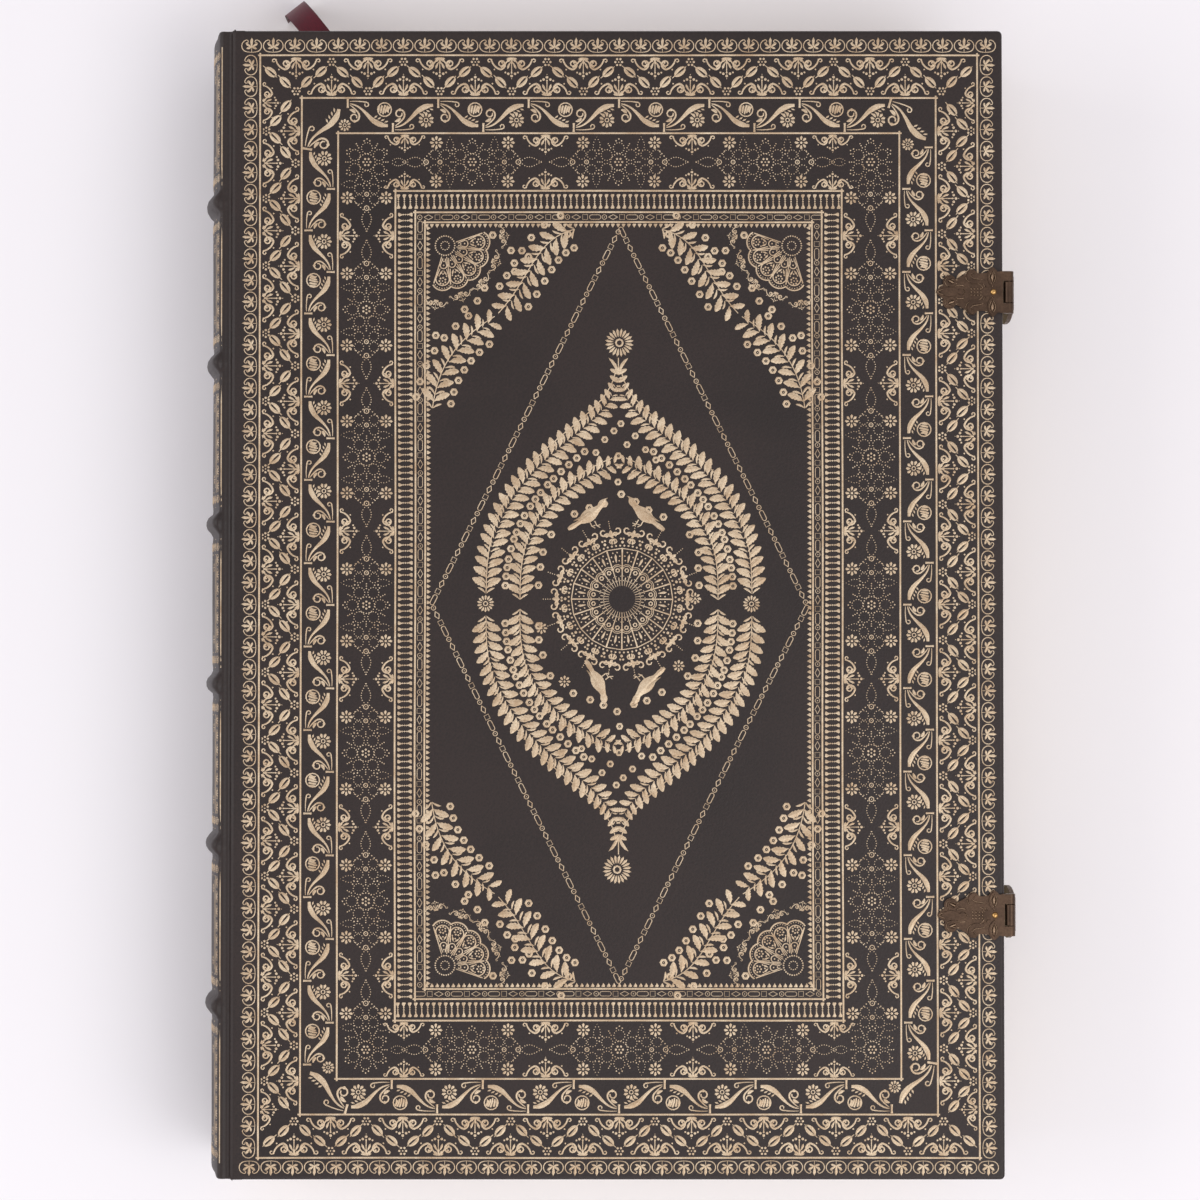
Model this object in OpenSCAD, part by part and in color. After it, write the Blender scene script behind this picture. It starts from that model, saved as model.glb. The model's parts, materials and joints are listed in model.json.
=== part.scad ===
// Large leather-bound book with six raised bands, a gilt-tooled front cover and two clasps.
// The origin is the centre of the back cover's outer face, +Z up, +Y to the head, +X to the fore edge.

/* [Covers] */
// Width of a cover, from its spine edge to its fore edge
cover_w = 309; // [290:1:330]
// Height of a cover, from tail to head
cover_h = 460; // [440:1:480]
// Thickness of the board inside a cover
board_t = 4; // [3:0.1:5]
// Rounding of a cover's corners, seen from above
corner_r = 2.4; // [2:0.1:5]
// Rounding of the leather over a cover's edges
edge_r = 1.4; // [0.8:0.1:1.5]
// Thickness of the leather on a cover
leather_t = 0.9; // [0.8:0.05:1.2]
// Width of the leather turned in over a board
turn_in_w = 18; // [12:1:25]
// Thickness of the pared leather of a turn-in, and of the card that fills the space between
turn_in_t = 0.6; // [0.4:0.05:0.8]

/* [Leaves] */
// Thickness of the leaves with both flyleaves
block_t = 56.4; // [50:0.1:62]
// Overhang of the covers past the leaves
square_w = 4; // [3:0.1:6]
// Depth of the hollow in the fore edge
fore_hollow = 7; // [4:0.1:9]
// Thickness of a pastedown and of a flyleaf
endpaper_t = 0.3; // [0.2:0.05:0.5]
// Leather left bare round a pastedown
pastedown_margin = 6; // [4:0.5:9]

/* [Spine] */
// Distance that the middle of the spine stands out past its shoulders
spine_rise = 7.5; // [6:0.1:9]
// Distance from a cover's spine edge to the crest of the shoulder
shoulder_w = 3.5; // [3.4:0.1:4.5]
// Depth of the shoulder's crest below a cover's outer face
shoulder_drop = 1.6; // [1.4:0.1:2.2]
// Rounding of the shoulder
shoulder_r = 2.2; // [2:0.1:2.4]
// Depth of the groove between shoulder and cover
groove_depth = 3; // [2.6:0.1:3.4]
// Thickness of the leather on the spine
spine_leather_t = 1.2; // [1:0.05:1.3]
// Thickness of the linings between the bands
lining_t = 0.6; // [0.4:0.05:0.8]
// Number of raised bands
band_count = 6; // [4:1:7]
// Distance between two bands
band_pitch = 64.6; // [58:0.2:65]
// Diameter of a sewing cord
cord_d = 3; // [2.4:0.1:3.4]
// Radius where the leather runs up onto a band
band_fillet = 1.8; // [1:0.1:2.4]
// Rounding of the headcaps
headcap_r = 4; // [3.6:0.1:5]
// Diameter of an endband's core
endband_d = 2.3; // [2:0.1:2.4]

/* [Gilding] */
// Thickness of the gilding
gilt_t = 0.12; // [0.1:0.01:0.2]
// Width of a gilt line
fillet_w = 0.8; // [0.5:0.1:1.2]
// Distance from a cover's edges to the first line
roll_a_w = 10.2; // [9:0.1:11]
// Width of the leaf border, between the first two lines
roll_b_w = 16.8; // [14:0.1:18]
// Width of the scroll border, between the second and third lines
roll_c_w = 14.2; // [12:0.1:16]
// Width of the rosette border
roll_d_w = 23.4; // [20:0.1:25]
// Width of the baluster border
roll_e_w = 8; // [7:0.1:9]
// Width of the chain border
roll_f_w = 4; // [3:0.1:5]
// Pitch of the leaf border
leaf_pitch = 8.8; // [8:0.1:10]
// Pitch of the garland border
garland_pitch = 28.2; // [26:0.2:31]
// Pitch of the scroll border
scroll_pitch = 34; // [31:0.5:37]
// Pitch of the rosette border
rosette_pitch = 58.8; // [54:0.4:63]
// Pitch of the baluster border
baluster_pitch = 7.4; // [6.8:0.1:9]
// Pitch of the chain border
chain_pitch = 14.6; // [12:0.1:17]
// Length of a leaf in the sprays of the panel
spray_leaf = 7.4; // [6:0.1:8]
// Radius of the wheel in the middle of the cover
wheel_r = 21; // [18:0.5:24]
// Half width of the pointed oval round the wheel
oval_w = 58; // [52:0.5:62]
// Half height of the pointed oval
oval_h = 98; // [90:0.5:104]
// Radius of the fans in the corners of the panel
fan_r = 20; // [16:0.5:22]

/* [Clasps] */
// Distance of each clasp from the middle of the fore edge
clasp_y = 124.6; // [110:0.2:140]
// Thickness of the clasps' metal
plate_t = 0.9; // [0.8:0.05:1.1]
// Height of the cast relief on the metal
relief_t = 0.5; // [0.3:0.05:0.7]
// Length of a clasp plate from the board's edge to its tip
plate_l = 26.9; // [24:0.1:30]
// Half width of a clasp plate at its ears
plate_half = 8.4; // [8:0.1:9]
// Outer radius of the hinge's knuckles
knuckle_r = 2; // [1.8:0.05:2.1]
// Diameter of a hinge pin
pin_d = 1.8; // [1.4:0.1:2]
// Half length of the hasp's own knuckle
hasp_knuckle = 4.1; // [3.5:0.1:4.5]
// Half width of a hasp where it leaves the hinge
hasp_neck = 7; // [6:0.1:7.5]
// Half width of a hasp at its widest
hasp_wide = 10.6; // [9:0.1:12]
// Thickness of a hasp
hasp_t = 1.4; // [1.2:0.1:1.6]
// Diameter of a catch pin
catch_pin_d = 2.4; // [2:0.1:2.6]
// Wall of metal round a hasp's eye
eye_wall = 1.5; // [1.2:0.1:1.6]
// Diameter of a rivet
rivet_d = 1.6; // [1.2:0.1:2]
// Diameter of a rivet's head
rivet_head_d = 2.6; // [2.4:0.1:3]

/* [Ribbon] */
// Width of the ribbon marker
ribbon_w = 10; // [6:0.5:12]
// Thickness of the ribbon marker
ribbon_t = 0.4; // [0.3:0.05:0.5]
// Length of the ribbon that lies between the leaves
ribbon_inside = 150; // [80:5:200]
// Distance of the ribbon's exit from the middle of the head, towards the spine
ribbon_x = 116.4; // [80:0.2:125]
// Slant of the ribbon across the head
ribbon_slant = 30; // [0:1:32]
// Radius of the ribbon's bend outside the head
ribbon_bend = 20; // [14:0.5:24]

/* [Fits] */
// Gap between fixed pieces that have curved faces
fit_gap = 0.05; // [0.03:0.01:0.08]
// Gap between pieces that move past each other
run_gap = 0.4; // [0.3:0.05:0.5]
// Radial gap round a hinge pin
pin_gap = 0.08; // [0.05:0.01:0.1]

/* [Hidden] */
$fn = 48;

leather_color = "#2e2a2b";
board_color = "#8d8274";
paper_color = "#e9dfc8";
gilt_color = "#d4b27a";
bronze_color = "#4a3b30";
brass_color = "#c79a5b";
cord_color = "#c9b48c";
ribbon_color = "#6b1428";

cover_t = leather_t + board_t + turn_in_t + endpaper_t;
total_t = block_t + 2 * cover_t;
mid_z = total_t / 2;
fore_x = cover_w / 2;
hinge_x = -cover_w / 2;
head_y = cover_h / 2;
leaf_head_y = head_y - square_w;
leaf_fore_x = fore_x - square_w;

arc_steps = 20;
crest_x = hinge_x - shoulder_w;
crest_z = mid_z - shoulder_drop - shoulder_r;
spine_r = (spine_rise * spine_rise + crest_z * crest_z - shoulder_r * shoulder_r)
  / (2 * (spine_rise - shoulder_r));
spine_axis_x = crest_x - spine_rise + spine_r;
spine_a = asin(crest_z / (spine_r - shoulder_r));
flange_x = hinge_x - run_gap;
groove_z = mid_z - groove_depth;
leaf_spine_x = flange_x - fit_gap;

inner_r = spine_r - spine_leather_t;
block_r = inner_r - lining_t;
cord_r = cord_d / 2;
cord_ring_r = block_r + cord_r + fit_gap;
cord_a = spine_a - 0.6;
band_r = cord_r + fit_gap + spine_leather_t;
first_band_y = -band_pitch * (band_count - 1) / 2;

function arc(c, r, a0, a1, n) = [
  for (i = [0:n])
    c + r * [cos(a0 + (a1 - a0) * i / n), sin(a0 + (a1 - a0) * i / n)]
];
function reversed(p) = [for (i = [len(p) - 1:-1:0]) p[i]];
function mirrored(p) = [for (i = [len(p) - 1:-1:0]) [p[i][0], -p[i][1]]];
function rounded(w, h, r) = concat(
  arc([w / 2 - r, h / 2 - r], r, 0, 90, 6),
  arc([r - w / 2, h / 2 - r], r, 90, 180, 6),
  arc([r - w / 2, r - h / 2], r, 180, 270, 6),
  arc([w / 2 - r, r - h / 2], r, 270, 360, 6)
);

// Extrudes an outline drawn in X and Z along the book's height.
module along_y(h) {
  rotate([90, 0, 0])
    linear_extrude(height = h, center = true)
      children();
}

// Turns an outline drawn in radius and Y about the spine's own axis.
module round_spine(a) {
  translate([spine_axis_x, 0, mid_z])
    rotate([-90, 0, 0])
      rotate([0, 0, 180 - a])
        rotate_extrude(angle = 2 * a)
          children();
}

// Puts a piece drawn for the back cover on the front cover instead.
module on_front() {
  translate([0, 0, total_t])
    mirror([0, 0, 1])
      children();
}

// Puts a clasp's piece at one of the two clasps, from its place at the fore edge.
module at_clasp(side, z) {
  translate([fore_x, side * clasp_y, z])
    children();
}

// Section: cover boards, drawn for the back cover

module board() {
  translate([0, 0, leather_t])
    linear_extrude(height = board_t)
      polygon(rounded(cover_w - 2 * leather_t, cover_h - 2 * leather_t, corner_r - leather_t));
}

// Leather of a cover: it wraps the board's edges and is turned in on three sides.
module cover_leather() {
  skin_t = leather_t + board_t + turn_in_t;
  window_w = cover_w - leather_t - turn_in_w;
  difference() {
    intersection() {
      linear_extrude(height = skin_t)
        polygon(rounded(cover_w, cover_h, corner_r));
      along_y(cover_h + 2)
        translate([0, skin_t / 2])
          polygon(rounded(cover_w, skin_t, edge_r));
      rotate([90, 0, 90])
        linear_extrude(height = cover_w + 2, center = true)
          translate([0, skin_t / 2])
            polygon(rounded(cover_h, skin_t, edge_r));
    }
    board();
    translate([hinge_x + leather_t, turn_in_w - head_y, leather_t + board_t / 2])
      cube([window_w, cover_h - 2 * turn_in_w, board_t + turn_in_t]);
  }
}

module infill() {
  translate([hinge_x + leather_t, turn_in_w - head_y, leather_t + board_t])
    cube([cover_w - leather_t - turn_in_w, cover_h - 2 * turn_in_w, turn_in_t]);
}

module pastedown() {
  translate([hinge_x + edge_r, pastedown_margin - head_y, cover_t - endpaper_t])
    cube([cover_w - edge_r - pastedown_margin, cover_h - 2 * pastedown_margin, endpaper_t]);
}

// Bores for the rivets of both clasps
module rivet_bores() {
  for (side = [-1, 1])
    at_clasp(side, -1)
      translate([rivet_x, 0, 0])
        cylinder(d = rivet_d + 2 * fit_gap, h = rivet_end + 1);
}

module back_board() {
  color(board_color)
    difference() {
      board();
      rivet_bores();
      catch_pin_bores();
    }
}

module back_cover_leather() {
  color(leather_color)
    difference() {
      cover_leather();
      catch_pin_bores();
      for (side = [-1, 1])
        at_clasp(side, -1)
          linear_extrude(height = 1 + leather_t)
            catch_outline(fit_gap);
    }
}

module back_infill() {
  color(board_color)
    infill();
}

module back_pastedown() {
  color(paper_color)
    pastedown();
}

module front_board() {
  color(board_color)
    on_front()
      difference() {
        board();
        rivet_bores();
      }
}

module front_cover_leather() {
  color(leather_color)
    on_front()
      difference() {
        cover_leather();
        rivet_bores();
      }
}

module front_infill() {
  color(board_color)
    on_front()
      infill();
}

module front_pastedown() {
  color(paper_color)
    on_front()
      pastedown();
}

// Section: the leaves

// Half of the leaves' section, from the fore edge round to the middle of the spine
function leaf_side() = let(
  top = mid_z - cover_t - endpaper_t,
  shelf = groove_z - spine_leather_t,
  hollow_r = (top * top + fore_hollow * fore_hollow) / (2 * fore_hollow),
  hollow_a = asin(top / hollow_r),
  shoulder_inner = shoulder_r - spine_leather_t - lining_t
) concat(
  arc([leaf_fore_x - fore_hollow + hollow_r, 0], hollow_r, 180, 180 - hollow_a, 8),
  [[leaf_spine_x, top], [leaf_spine_x, shelf], [crest_x + shoulder_inner, shelf]],
  arc([crest_x, crest_z], shoulder_inner, 0, 180 - spine_a, 3),
  arc([spine_axis_x, 0], block_r, 180 - spine_a, 180, arc_steps / 2)
);

module text_block() {
  color(paper_color)
    difference() {
      translate([0, 0, mid_z])
        along_y(2 * leaf_head_y)
          polygon(concat(leaf_side(), mirrored(leaf_side())));
      ribbon_slot();
    }
}

module flyleaf() {
  translate([leaf_spine_x, -leaf_head_y, cover_t])
    cube([leaf_fore_x - leaf_spine_x, 2 * leaf_head_y, endpaper_t]);
}

module front_flyleaf() {
  color(paper_color)
    on_front()
      flyleaf();
}

module back_flyleaf() {
  color(paper_color)
    flyleaf();
}

module ribbon_frame() {
  translate([-ribbon_x, leaf_head_y, mid_z])
    rotate([0, 0, ribbon_slant])
      children();
}

module ribbon_slot() {
  slot_gap = 0.3;
  ribbon_frame()
    translate([-ribbon_w / 2 - slot_gap, -ribbon_inside - slot_gap, -ribbon_t / 2 - fit_gap])
      cube([ribbon_w + 2 * slot_gap, ribbon_inside + 20, ribbon_t + 2 * fit_gap]);
}

// The ribbon lies between the leaves, leaves the head, bends down and ends just above the table.
module ribbon_marker() {
  lip = square_w + 2;
  low_z = ribbon_t - mid_z;
  drop_x = lip + ribbon_bend;
  path_outer = concat(
    [[-ribbon_inside, ribbon_t / 2]],
    arc([lip, -ribbon_bend], ribbon_bend + ribbon_t / 2, 90, 0, 10),
    [[drop_x + ribbon_t / 2, low_z]]
  );
  path_inner = concat(
    [[-ribbon_inside, -ribbon_t / 2]],
    arc([lip, -ribbon_bend], ribbon_bend - ribbon_t / 2, 90, 0, 10),
    [[drop_x - ribbon_t / 2, low_z]]
  );
  color(ribbon_color)
    ribbon_frame()
      rotate([90, 0, 90])
        linear_extrude(height = ribbon_w, center = true)
          polygon(concat(path_outer, reversed(path_inner)));
}

// Section: the spine

// Half of the spine leather's section, from the groove to the middle, at a depth below its face
function spine_side(depth, from_a) = let(
  r = shoulder_r - depth,
  z = groove_z - depth,
  a = asin((z - crest_z) / r)
) concat(
  [[flange_x, z]],
  arc([crest_x, crest_z], r, a, 180 - spine_a, 10),
  arc([spine_axis_x, 0], spine_r - depth, 180 - spine_a, from_a, arc_steps / 2)
);

// The outline of a raised band in radius and Y, with the leather running up onto it on both sides
function band_outline(y) = let(
  foot = band_r + band_fillet,
  bump = arc([cord_ring_r, y], band_r, -60, 60, 8),
  toe = band_r * sin(60) + band_fillet * 0.9
) concat(
  [[spine_r, y - foot], [spine_r + band_fillet * 0.2, y - toe]],
  bump,
  [[spine_r + band_fillet * 0.2, y + toe], [spine_r, y + foot]]
);

// The leather turned in over one end of the spine, from its outer face round to its inner one
function headcap_outline() = let(
  c = [spine_r - headcap_r, head_y - headcap_r],
  tuck = c[0] - spine_leather_t
) concat(
  arc(c, headcap_r, 0, 90, 8),
  [[tuck, head_y], [tuck, head_y - spine_leather_t]],
  arc(c, headcap_r - spine_leather_t, 90, 0, 6)
);

// The section of the spine leather along the book, with its bands and headcaps
module spine_section() {
  bands = [for (i = [0:band_count - 1]) each band_outline(first_band_y + i * band_pitch)];
  polygon(concat(bands, headcap_outline(), mirrored(headcap_outline())));
}

// The round ends of a raised band, kept out of the leaves below
module band_ends() {
  difference() {
    for (z_side = [-1, 1])
      translate([spine_axis_x, 0, mid_z])
        rotate([0, z_side * cord_a, 0])
          translate([-cord_ring_r, 0, 0])
            sphere(r = band_r * 0.87);
    translate([spine_axis_x, 0, mid_z])
      rotate([90, 0, 0])
        cylinder(r = spine_r - spine_leather_t / 3, h = 4 * band_r, center = true);
  }
}

// The shoulder and the groove's leather on one side, let a little way into the curved leather
module shoulder_leather() {
  overlap_a = 180 - spine_a + 1.5;
  translate([0, 0, mid_z])
    along_y(cover_h - 2 * edge_r)
      polygon(concat(
        spine_side(fit_gap, overlap_a),
        reversed(spine_side(spine_leather_t - fit_gap, overlap_a))
      ));
}

module spine_leather() {
  color(leather_color)
    difference() {
      union() {
        round_spine(spine_a)
          spine_section();
        shoulder_leather();
        on_front()
          shoulder_leather();
        for (i = [0:band_count - 1])
          translate([0, first_band_y + i * band_pitch, 0])
            band_ends();
      }
      for (i = [0:band_count - 1])
        translate([0, first_band_y + i * band_pitch, 0])
          cord_shape(fit_gap);
    }
}

module cord_shape(gap) {
  round_spine(cord_a)
    translate([cord_ring_r, 0])
      circle(r = cord_r + gap);
}

module sewing_cord(i) {
  color(cord_color)
    translate([0, first_band_y + i * band_pitch, 0])
      cord_shape(0);
}

// Linings: one strip between each two bands, and one at each end
module spine_linings() {
  reach = cord_r + 2 * fit_gap;
  ends = concat(
    [-leaf_head_y - reach],
    [for (i = [0:band_count - 1]) first_band_y + i * band_pitch],
    [leaf_head_y + reach]
  );
  color(paper_color)
    round_spine(cord_a)
      for (i = [0:band_count])
        translate([block_r + fit_gap, ends[i] + reach])
          square([lining_t - 2 * fit_gap, ends[i + 1] - ends[i] - 2 * reach]);
}

module endband() {
  color(ribbon_color)
    round_spine(cord_a)
      translate([spine_r - headcap_r + fit_gap, leaf_head_y + endband_d / 2 + fit_gap])
        circle(d = endband_d);
}

module headband() {
  endband();
}

module tailband() {
  mirror([0, 1, 0])
    endband();
}

// A patch on the face of the spine, out to an angle on both sides
module spine_patch(a, low, high, lift) {
  round_spine(a)
    translate([spine_r + fit_gap - lift, low])
      square([gilt_t + 2 * lift, high - low]);
}

module spine_frame(a, low, high) {
  line_a = fillet_w / spine_r * 180 / PI;
  difference() {
    spine_patch(a, low, high, 0);
    spine_patch(a - line_a, low + fillet_w, high - fillet_w, 1);
  }
}

// Gilding of the spine: two frames and a small flower in each panel between the bands
module spine_gilding() {
  panel_a = spine_a - 0.6;
  clear = band_r + band_fillet + 1.5;
  step = 5;
  step_a = step / spine_r * 180 / PI;
  bands = [for (i = [0:band_count - 1]) first_band_y + i * band_pitch];
  lows = concat([headcap_r + 2 - head_y], [for (y = bands) y + clear]);
  highs = concat([for (y = bands) y - clear], [head_y - headcap_r - 2]);
  color(gilt_color)
    for (i = [0:band_count]) {
      spine_frame(panel_a, lows[i], highs[i]);
      spine_frame(panel_a - step_a, lows[i] + step, highs[i] - step);
      for (k = [-1:1])
        spine_patch((2 - abs(k)) * step_a / 3, (lows[i] + highs[i]) / 2 + k * step - 1,
          (lows[i] + highs[i]) / 2 + k * step + 1, 0);
    }
}

// Section: gilding of the front cover, drawn as fields and simple shapes

line_1 = roll_a_w;
line_2 = line_1 + roll_b_w;
line_3 = line_2 + roll_c_w;
line_4 = line_3 + roll_d_w;
line_5 = line_4 + roll_e_w;
line_6 = line_5 + roll_f_w;
panel_w = cover_w - 2 * line_6;
panel_h = cover_h - 2 * line_6;

module gilt() {
  color(gilt_color)
    translate([0, 0, total_t])
      linear_extrude(height = gilt_t)
        children();
}

module frame_line(inset, w) {
  difference() {
    square([cover_w - 2 * inset + w, cover_h - 2 * inset + w], center = true);
    square([cover_w - 2 * inset - w, cover_h - 2 * inset - w], center = true);
  }
}

// Repeats a motif along the four sides of a border whose middle lies at an inset; the motif points outwards.
// Motifs that go between two others leave out the corners.
module border(inset, pitch, between = false) {
  w = cover_w - 2 * inset;
  h = cover_h - 2 * inset;
  nw = max(1, round(w / pitch));
  nh = max(1, round(h / pitch) - 1);
  first = between ? 1 : 0;
  shift = between ? 0 : 0.5;
  for (side = [-1, 1]) {
    for (i = [first:nw - 1])
      translate([(i + shift) * w / nw - w / 2, side * h / 2])
        rotate(side > 0 ? 0 : 180)
          children();
    for (i = [first:nh - 1])
      translate([side * w / 2, (i + shift) * (h - pitch) / nh - (h - pitch) / 2])
        rotate(-side * 90)
          children();
  }
}

// A lozenge of a length and a width
module lozenge(l, w) {
  polygon([[0, l / 2], [w / 2, 0], [0, -l / 2], [-w / 2, 0]]);
}

// A polygon whose points are shares of a length and a width
module shape(points, l, w) {
  polygon([for (p = points) [p[0] * l, p[1] * w]]);
}

// A flower of petals round an eye
module flower(n, r, petal_w) {
  circle(r = r * 0.3, $fn = 6);
  for (i = [0:n - 1])
    rotate(i * 360 / n)
      translate([0, r * 0.68])
        lozenge(r * 0.62, petal_w);
}

// An arabesque as a field with a hollow slope on each side, standing on its base line
module crown(l, h) {
  shape([[-0.5, 0], [-0.2, 0.4], [0, 1], [0.2, 0.4], [0.5, 0]], l, h);
}

module leaf_and_scroll(l, w) {
  shape([[0, 0.42], [0.25, 0.06], [0.16, -0.34], [-0.16, -0.34], [-0.25, 0.06]], l, w);
}

// Two leaves down each slope of a zigzag
module garland(l, w) {
  for (side = [-1, 1])
    for (k = [0, 1])
      translate([side * l * (0.16 + 0.17 * k), w * (0.12 - 0.24 * k)])
        rotate(side * 52)
          lozenge(w * 0.4, w * 0.19);
}

// A daisy, a curved horn and a fruit
module cornucopia(l, w) {
  translate([-0.29 * l, -0.04 * w])
    circle(r = 0.23 * w, $fn = 6);
  shape([
    [-0.13, -0.36], [0.03, -0.32], [0.16, -0.04], [0.26, 0.2],
    [0.34, 0.28], [0.24, 0.38], [0.08, 0.16], [-0.03, -0.16]
  ], l, w);
  translate([0.3 * l, -0.18 * w])
    rotate(-50)
      lozenge(0.42 * w, 0.26 * w);
}

module front_gilt_lines() {
  gilt() {
    for (inset = [line_1, line_2, line_3, line_4, line_5, line_6])
      frame_line(inset, fillet_w);
    border((line_5 + line_6) / 2, chain_pitch)
      lozenge(roll_f_w * 0.5, chain_pitch * 0.55);
  }
}

module front_gilt_borders() {
  garland_inset = (line_1 + line_2) / 2;
  rosette_inset = (line_3 + line_4) / 2;
  gilt() {
    border(line_1 / 2 + 1, leaf_pitch)
      leaf_and_scroll(leaf_pitch, line_1 * 0.7);
    border(garland_inset, garland_pitch) {
      garland(garland_pitch, roll_b_w);
      translate([0, -roll_b_w * 0.44])
        crown(garland_pitch * 0.68, roll_b_w * 0.44);
    }
    border(garland_inset, garland_pitch, true)
      translate([0, roll_b_w * 0.44])
        rotate(180)
          crown(garland_pitch * 0.68, roll_b_w * 0.44);
    border((line_2 + line_3) / 2, scroll_pitch)
      cornucopia(scroll_pitch, roll_c_w);
    border(rosette_inset, rosette_pitch)
      flower(6, roll_d_w * 0.36, roll_d_w * 0.15);
    border(rosette_inset, rosette_pitch, true)
      for (turn = [0, 180])
        rotate(turn)
          translate([0, -roll_d_w * 0.46])
            crown(rosette_pitch * 0.36, roll_d_w * 0.34);
    border((line_4 + line_5) / 2, baluster_pitch)
      lozenge(roll_e_w * 0.6, baluster_pitch * 0.27);
  }
}

// Leaves on both sides of a stem that grows along a path
module spray(path, leaf_l) {
  for (i = [0:len(path) - 2]) {
    d = path[i + 1] - path[i];
    translate(path[i])
      rotate(atan2(d[1], d[0]) - 90)
        for (side = [-1, 1])
          translate([side * leaf_l * 0.44, leaf_l * 0.32])
            rotate(-side * 54)
              lozenge(leaf_l, leaf_l * 0.44);
  }
}

// A quarter of a pointed oval's stem, from its side to its tip
function oval_path(w, h, n) = [for (i = [0:n]) [w * pow(cos(90 * i / n), 1.15), h * i / n]];

// A stem bent between two ends towards a handle
function bent_path(a, b, c, n) = [
  for (i = [0:n])
    let(t = i / n)
      (1 - t) * (1 - t) * a + 2 * t * (1 - t) * b + t * t * c
];

// The fan of a corner: a ringed eye and five petals; the panel's corner lies towards -X and -Y.
module fan() {
  petal_l = fan_r * 0.72;
  difference() {
    circle(r = fan_r * 0.19, $fn = 16);
    circle(r = fan_r * 0.12, $fn = 16);
  }
  for (i = [0:4])
    rotate(-4 + i * 24.5)
      translate([fan_r - petal_l, 0])
        shape([[0, 0.1], [0.74, 0.46], [0.94, 0.3], [1, 0], [0.94, -0.3], [0.74, -0.46], [0, -0.1]], petal_l,
          petal_l * 0.5);
}

// Two sprays of a corner that grow towards each other
module corner_sprays() {
  low = [spray_leaf * 0.74, panel_h * 0.24];
  middle = [panel_w * 0.185, panel_h * 0.128];
  high = [panel_w * 0.385, spray_leaf * 0.74];
  bend = [panel_w * 0.06, panel_h * 0.04];
  spray(bent_path(low, (low + middle) / 2 - bend / 2, middle, 6), spray_leaf);
  spray(bent_path(high, (high + middle) / 2 - bend / 2, middle, 6), spray_leaf);
}

// A small bird seen from the side, looking to +X
module bird(l) {
  shape([
    [-0.5, -0.14], [-0.2, -0.02], [0.1, 0.14], [0.27, 0.14], [0.38, 0.25],
    [0.5, 0.16], [0.38, 0.08], [0.2, -0.12], [-0.1, -0.16]
  ], l, l);
}

// The wheel: a ring with twenty spokes, and a crest round it
module wheel() {
  hole_r = wheel_r * 0.26;
  difference() {
    circle(r = wheel_r);
    circle(r = wheel_r - fillet_w);
  }
  for (i = [0:19])
    rotate(i * 18) {
      polygon([
        [hole_r, wheel_r * 0.015], [wheel_r * 0.9, wheel_r * 0.076], [wheel_r * 0.9, -wheel_r * 0.076],
        [hole_r, -wheel_r * 0.015]
      ]);
      translate([0, wheel_r * 1.17])
        lozenge(wheel_r * 0.24, wheel_r * 0.13);
    }
}

module front_gilt_panel() {
  diamond_w = panel_w / 2 - 2;
  diamond_h = panel_h / 2 - 2;
  stem_h = oval_h - 8;
  stem_w = oval_w - spray_leaf * 0.7;
  gilt() {
    difference() {
      lozenge(2 * diamond_h, 2 * diamond_w);
      lozenge(2 * diamond_h - 4.6, 2 * diamond_w - 2.2);
    }
    wheel();
    for (y_side = [-1, 1])
      translate([0, y_side * (oval_h + 6)])
        flower(8, 5.8, 2);
    for (turn = [0, 180])
      rotate(turn) {
        translate([-wheel_r * 0.55, wheel_r * 1.62])
          rotate(18)
            bird(wheel_r * 0.95);
        translate([wheel_r * 0.55, wheel_r * 1.62])
          mirror([1, 0])
            rotate(18)
              bird(wheel_r * 0.95);
      }
    for (x_side = [0, 1], y_side = [0, 1])
      mirror([x_side, 0])
        mirror([0, y_side]) {
          spray(oval_path(stem_w, stem_h, 14), spray_leaf);
          spray(oval_path(stem_w * 0.74, stem_h * 0.63, 9), spray_leaf * 0.9);
          translate([-panel_w / 2, -panel_h / 2]) {
            translate([fan_r * 0.42, fan_r * 0.42])
              fan();
            corner_sprays();
          }
        }
  }
}

// Section: clasps

hinge_pin_x = knuckle_r + run_gap;
hinge_pin_z = total_t + gilt_t + plate_t - knuckle_r;
pin_r = pin_d / 2;
rivet_x = -3.9;
rivet_end = leather_t + board_t;
catch_pin_r = catch_pin_d / 2;
eye_r = catch_pin_r + 0.35;
catch_z = eye_r + eye_wall + run_gap;
catch_pin_out = 5.6;
catch_pin_in = -rivet_x - rivet_d / 2 - run_gap;
hasp_face_x = hinge_pin_x + knuckle_r;
hasp_top_z = hinge_pin_z - knuckle_r - run_gap;

// A cast plate's lobes: one at the tip, one on each side of it, one at each waist and one at each ear
tip_l = 10.4;
tip_w = 6;
side_lobe_r = 2.7;
side_lobe_y = 4.1;
waist_lobe_r = 2.2;
waist_x = 12.6;
ear_lobe_l = 8.4;
ear_lobe_w = 5.2;
scroll_r = 2.9;
scroll_w = 1.4;

// A pointed oval of a length and a width, made of two arcs
module pointed_oval(l, w) {
  r = (l * l + w * w) / (4 * w);
  intersection() {
    translate([r - w / 2, 0])
      circle(r = r);
    translate([w / 2 - r, 0])
      circle(r = r);
  }
}

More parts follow.
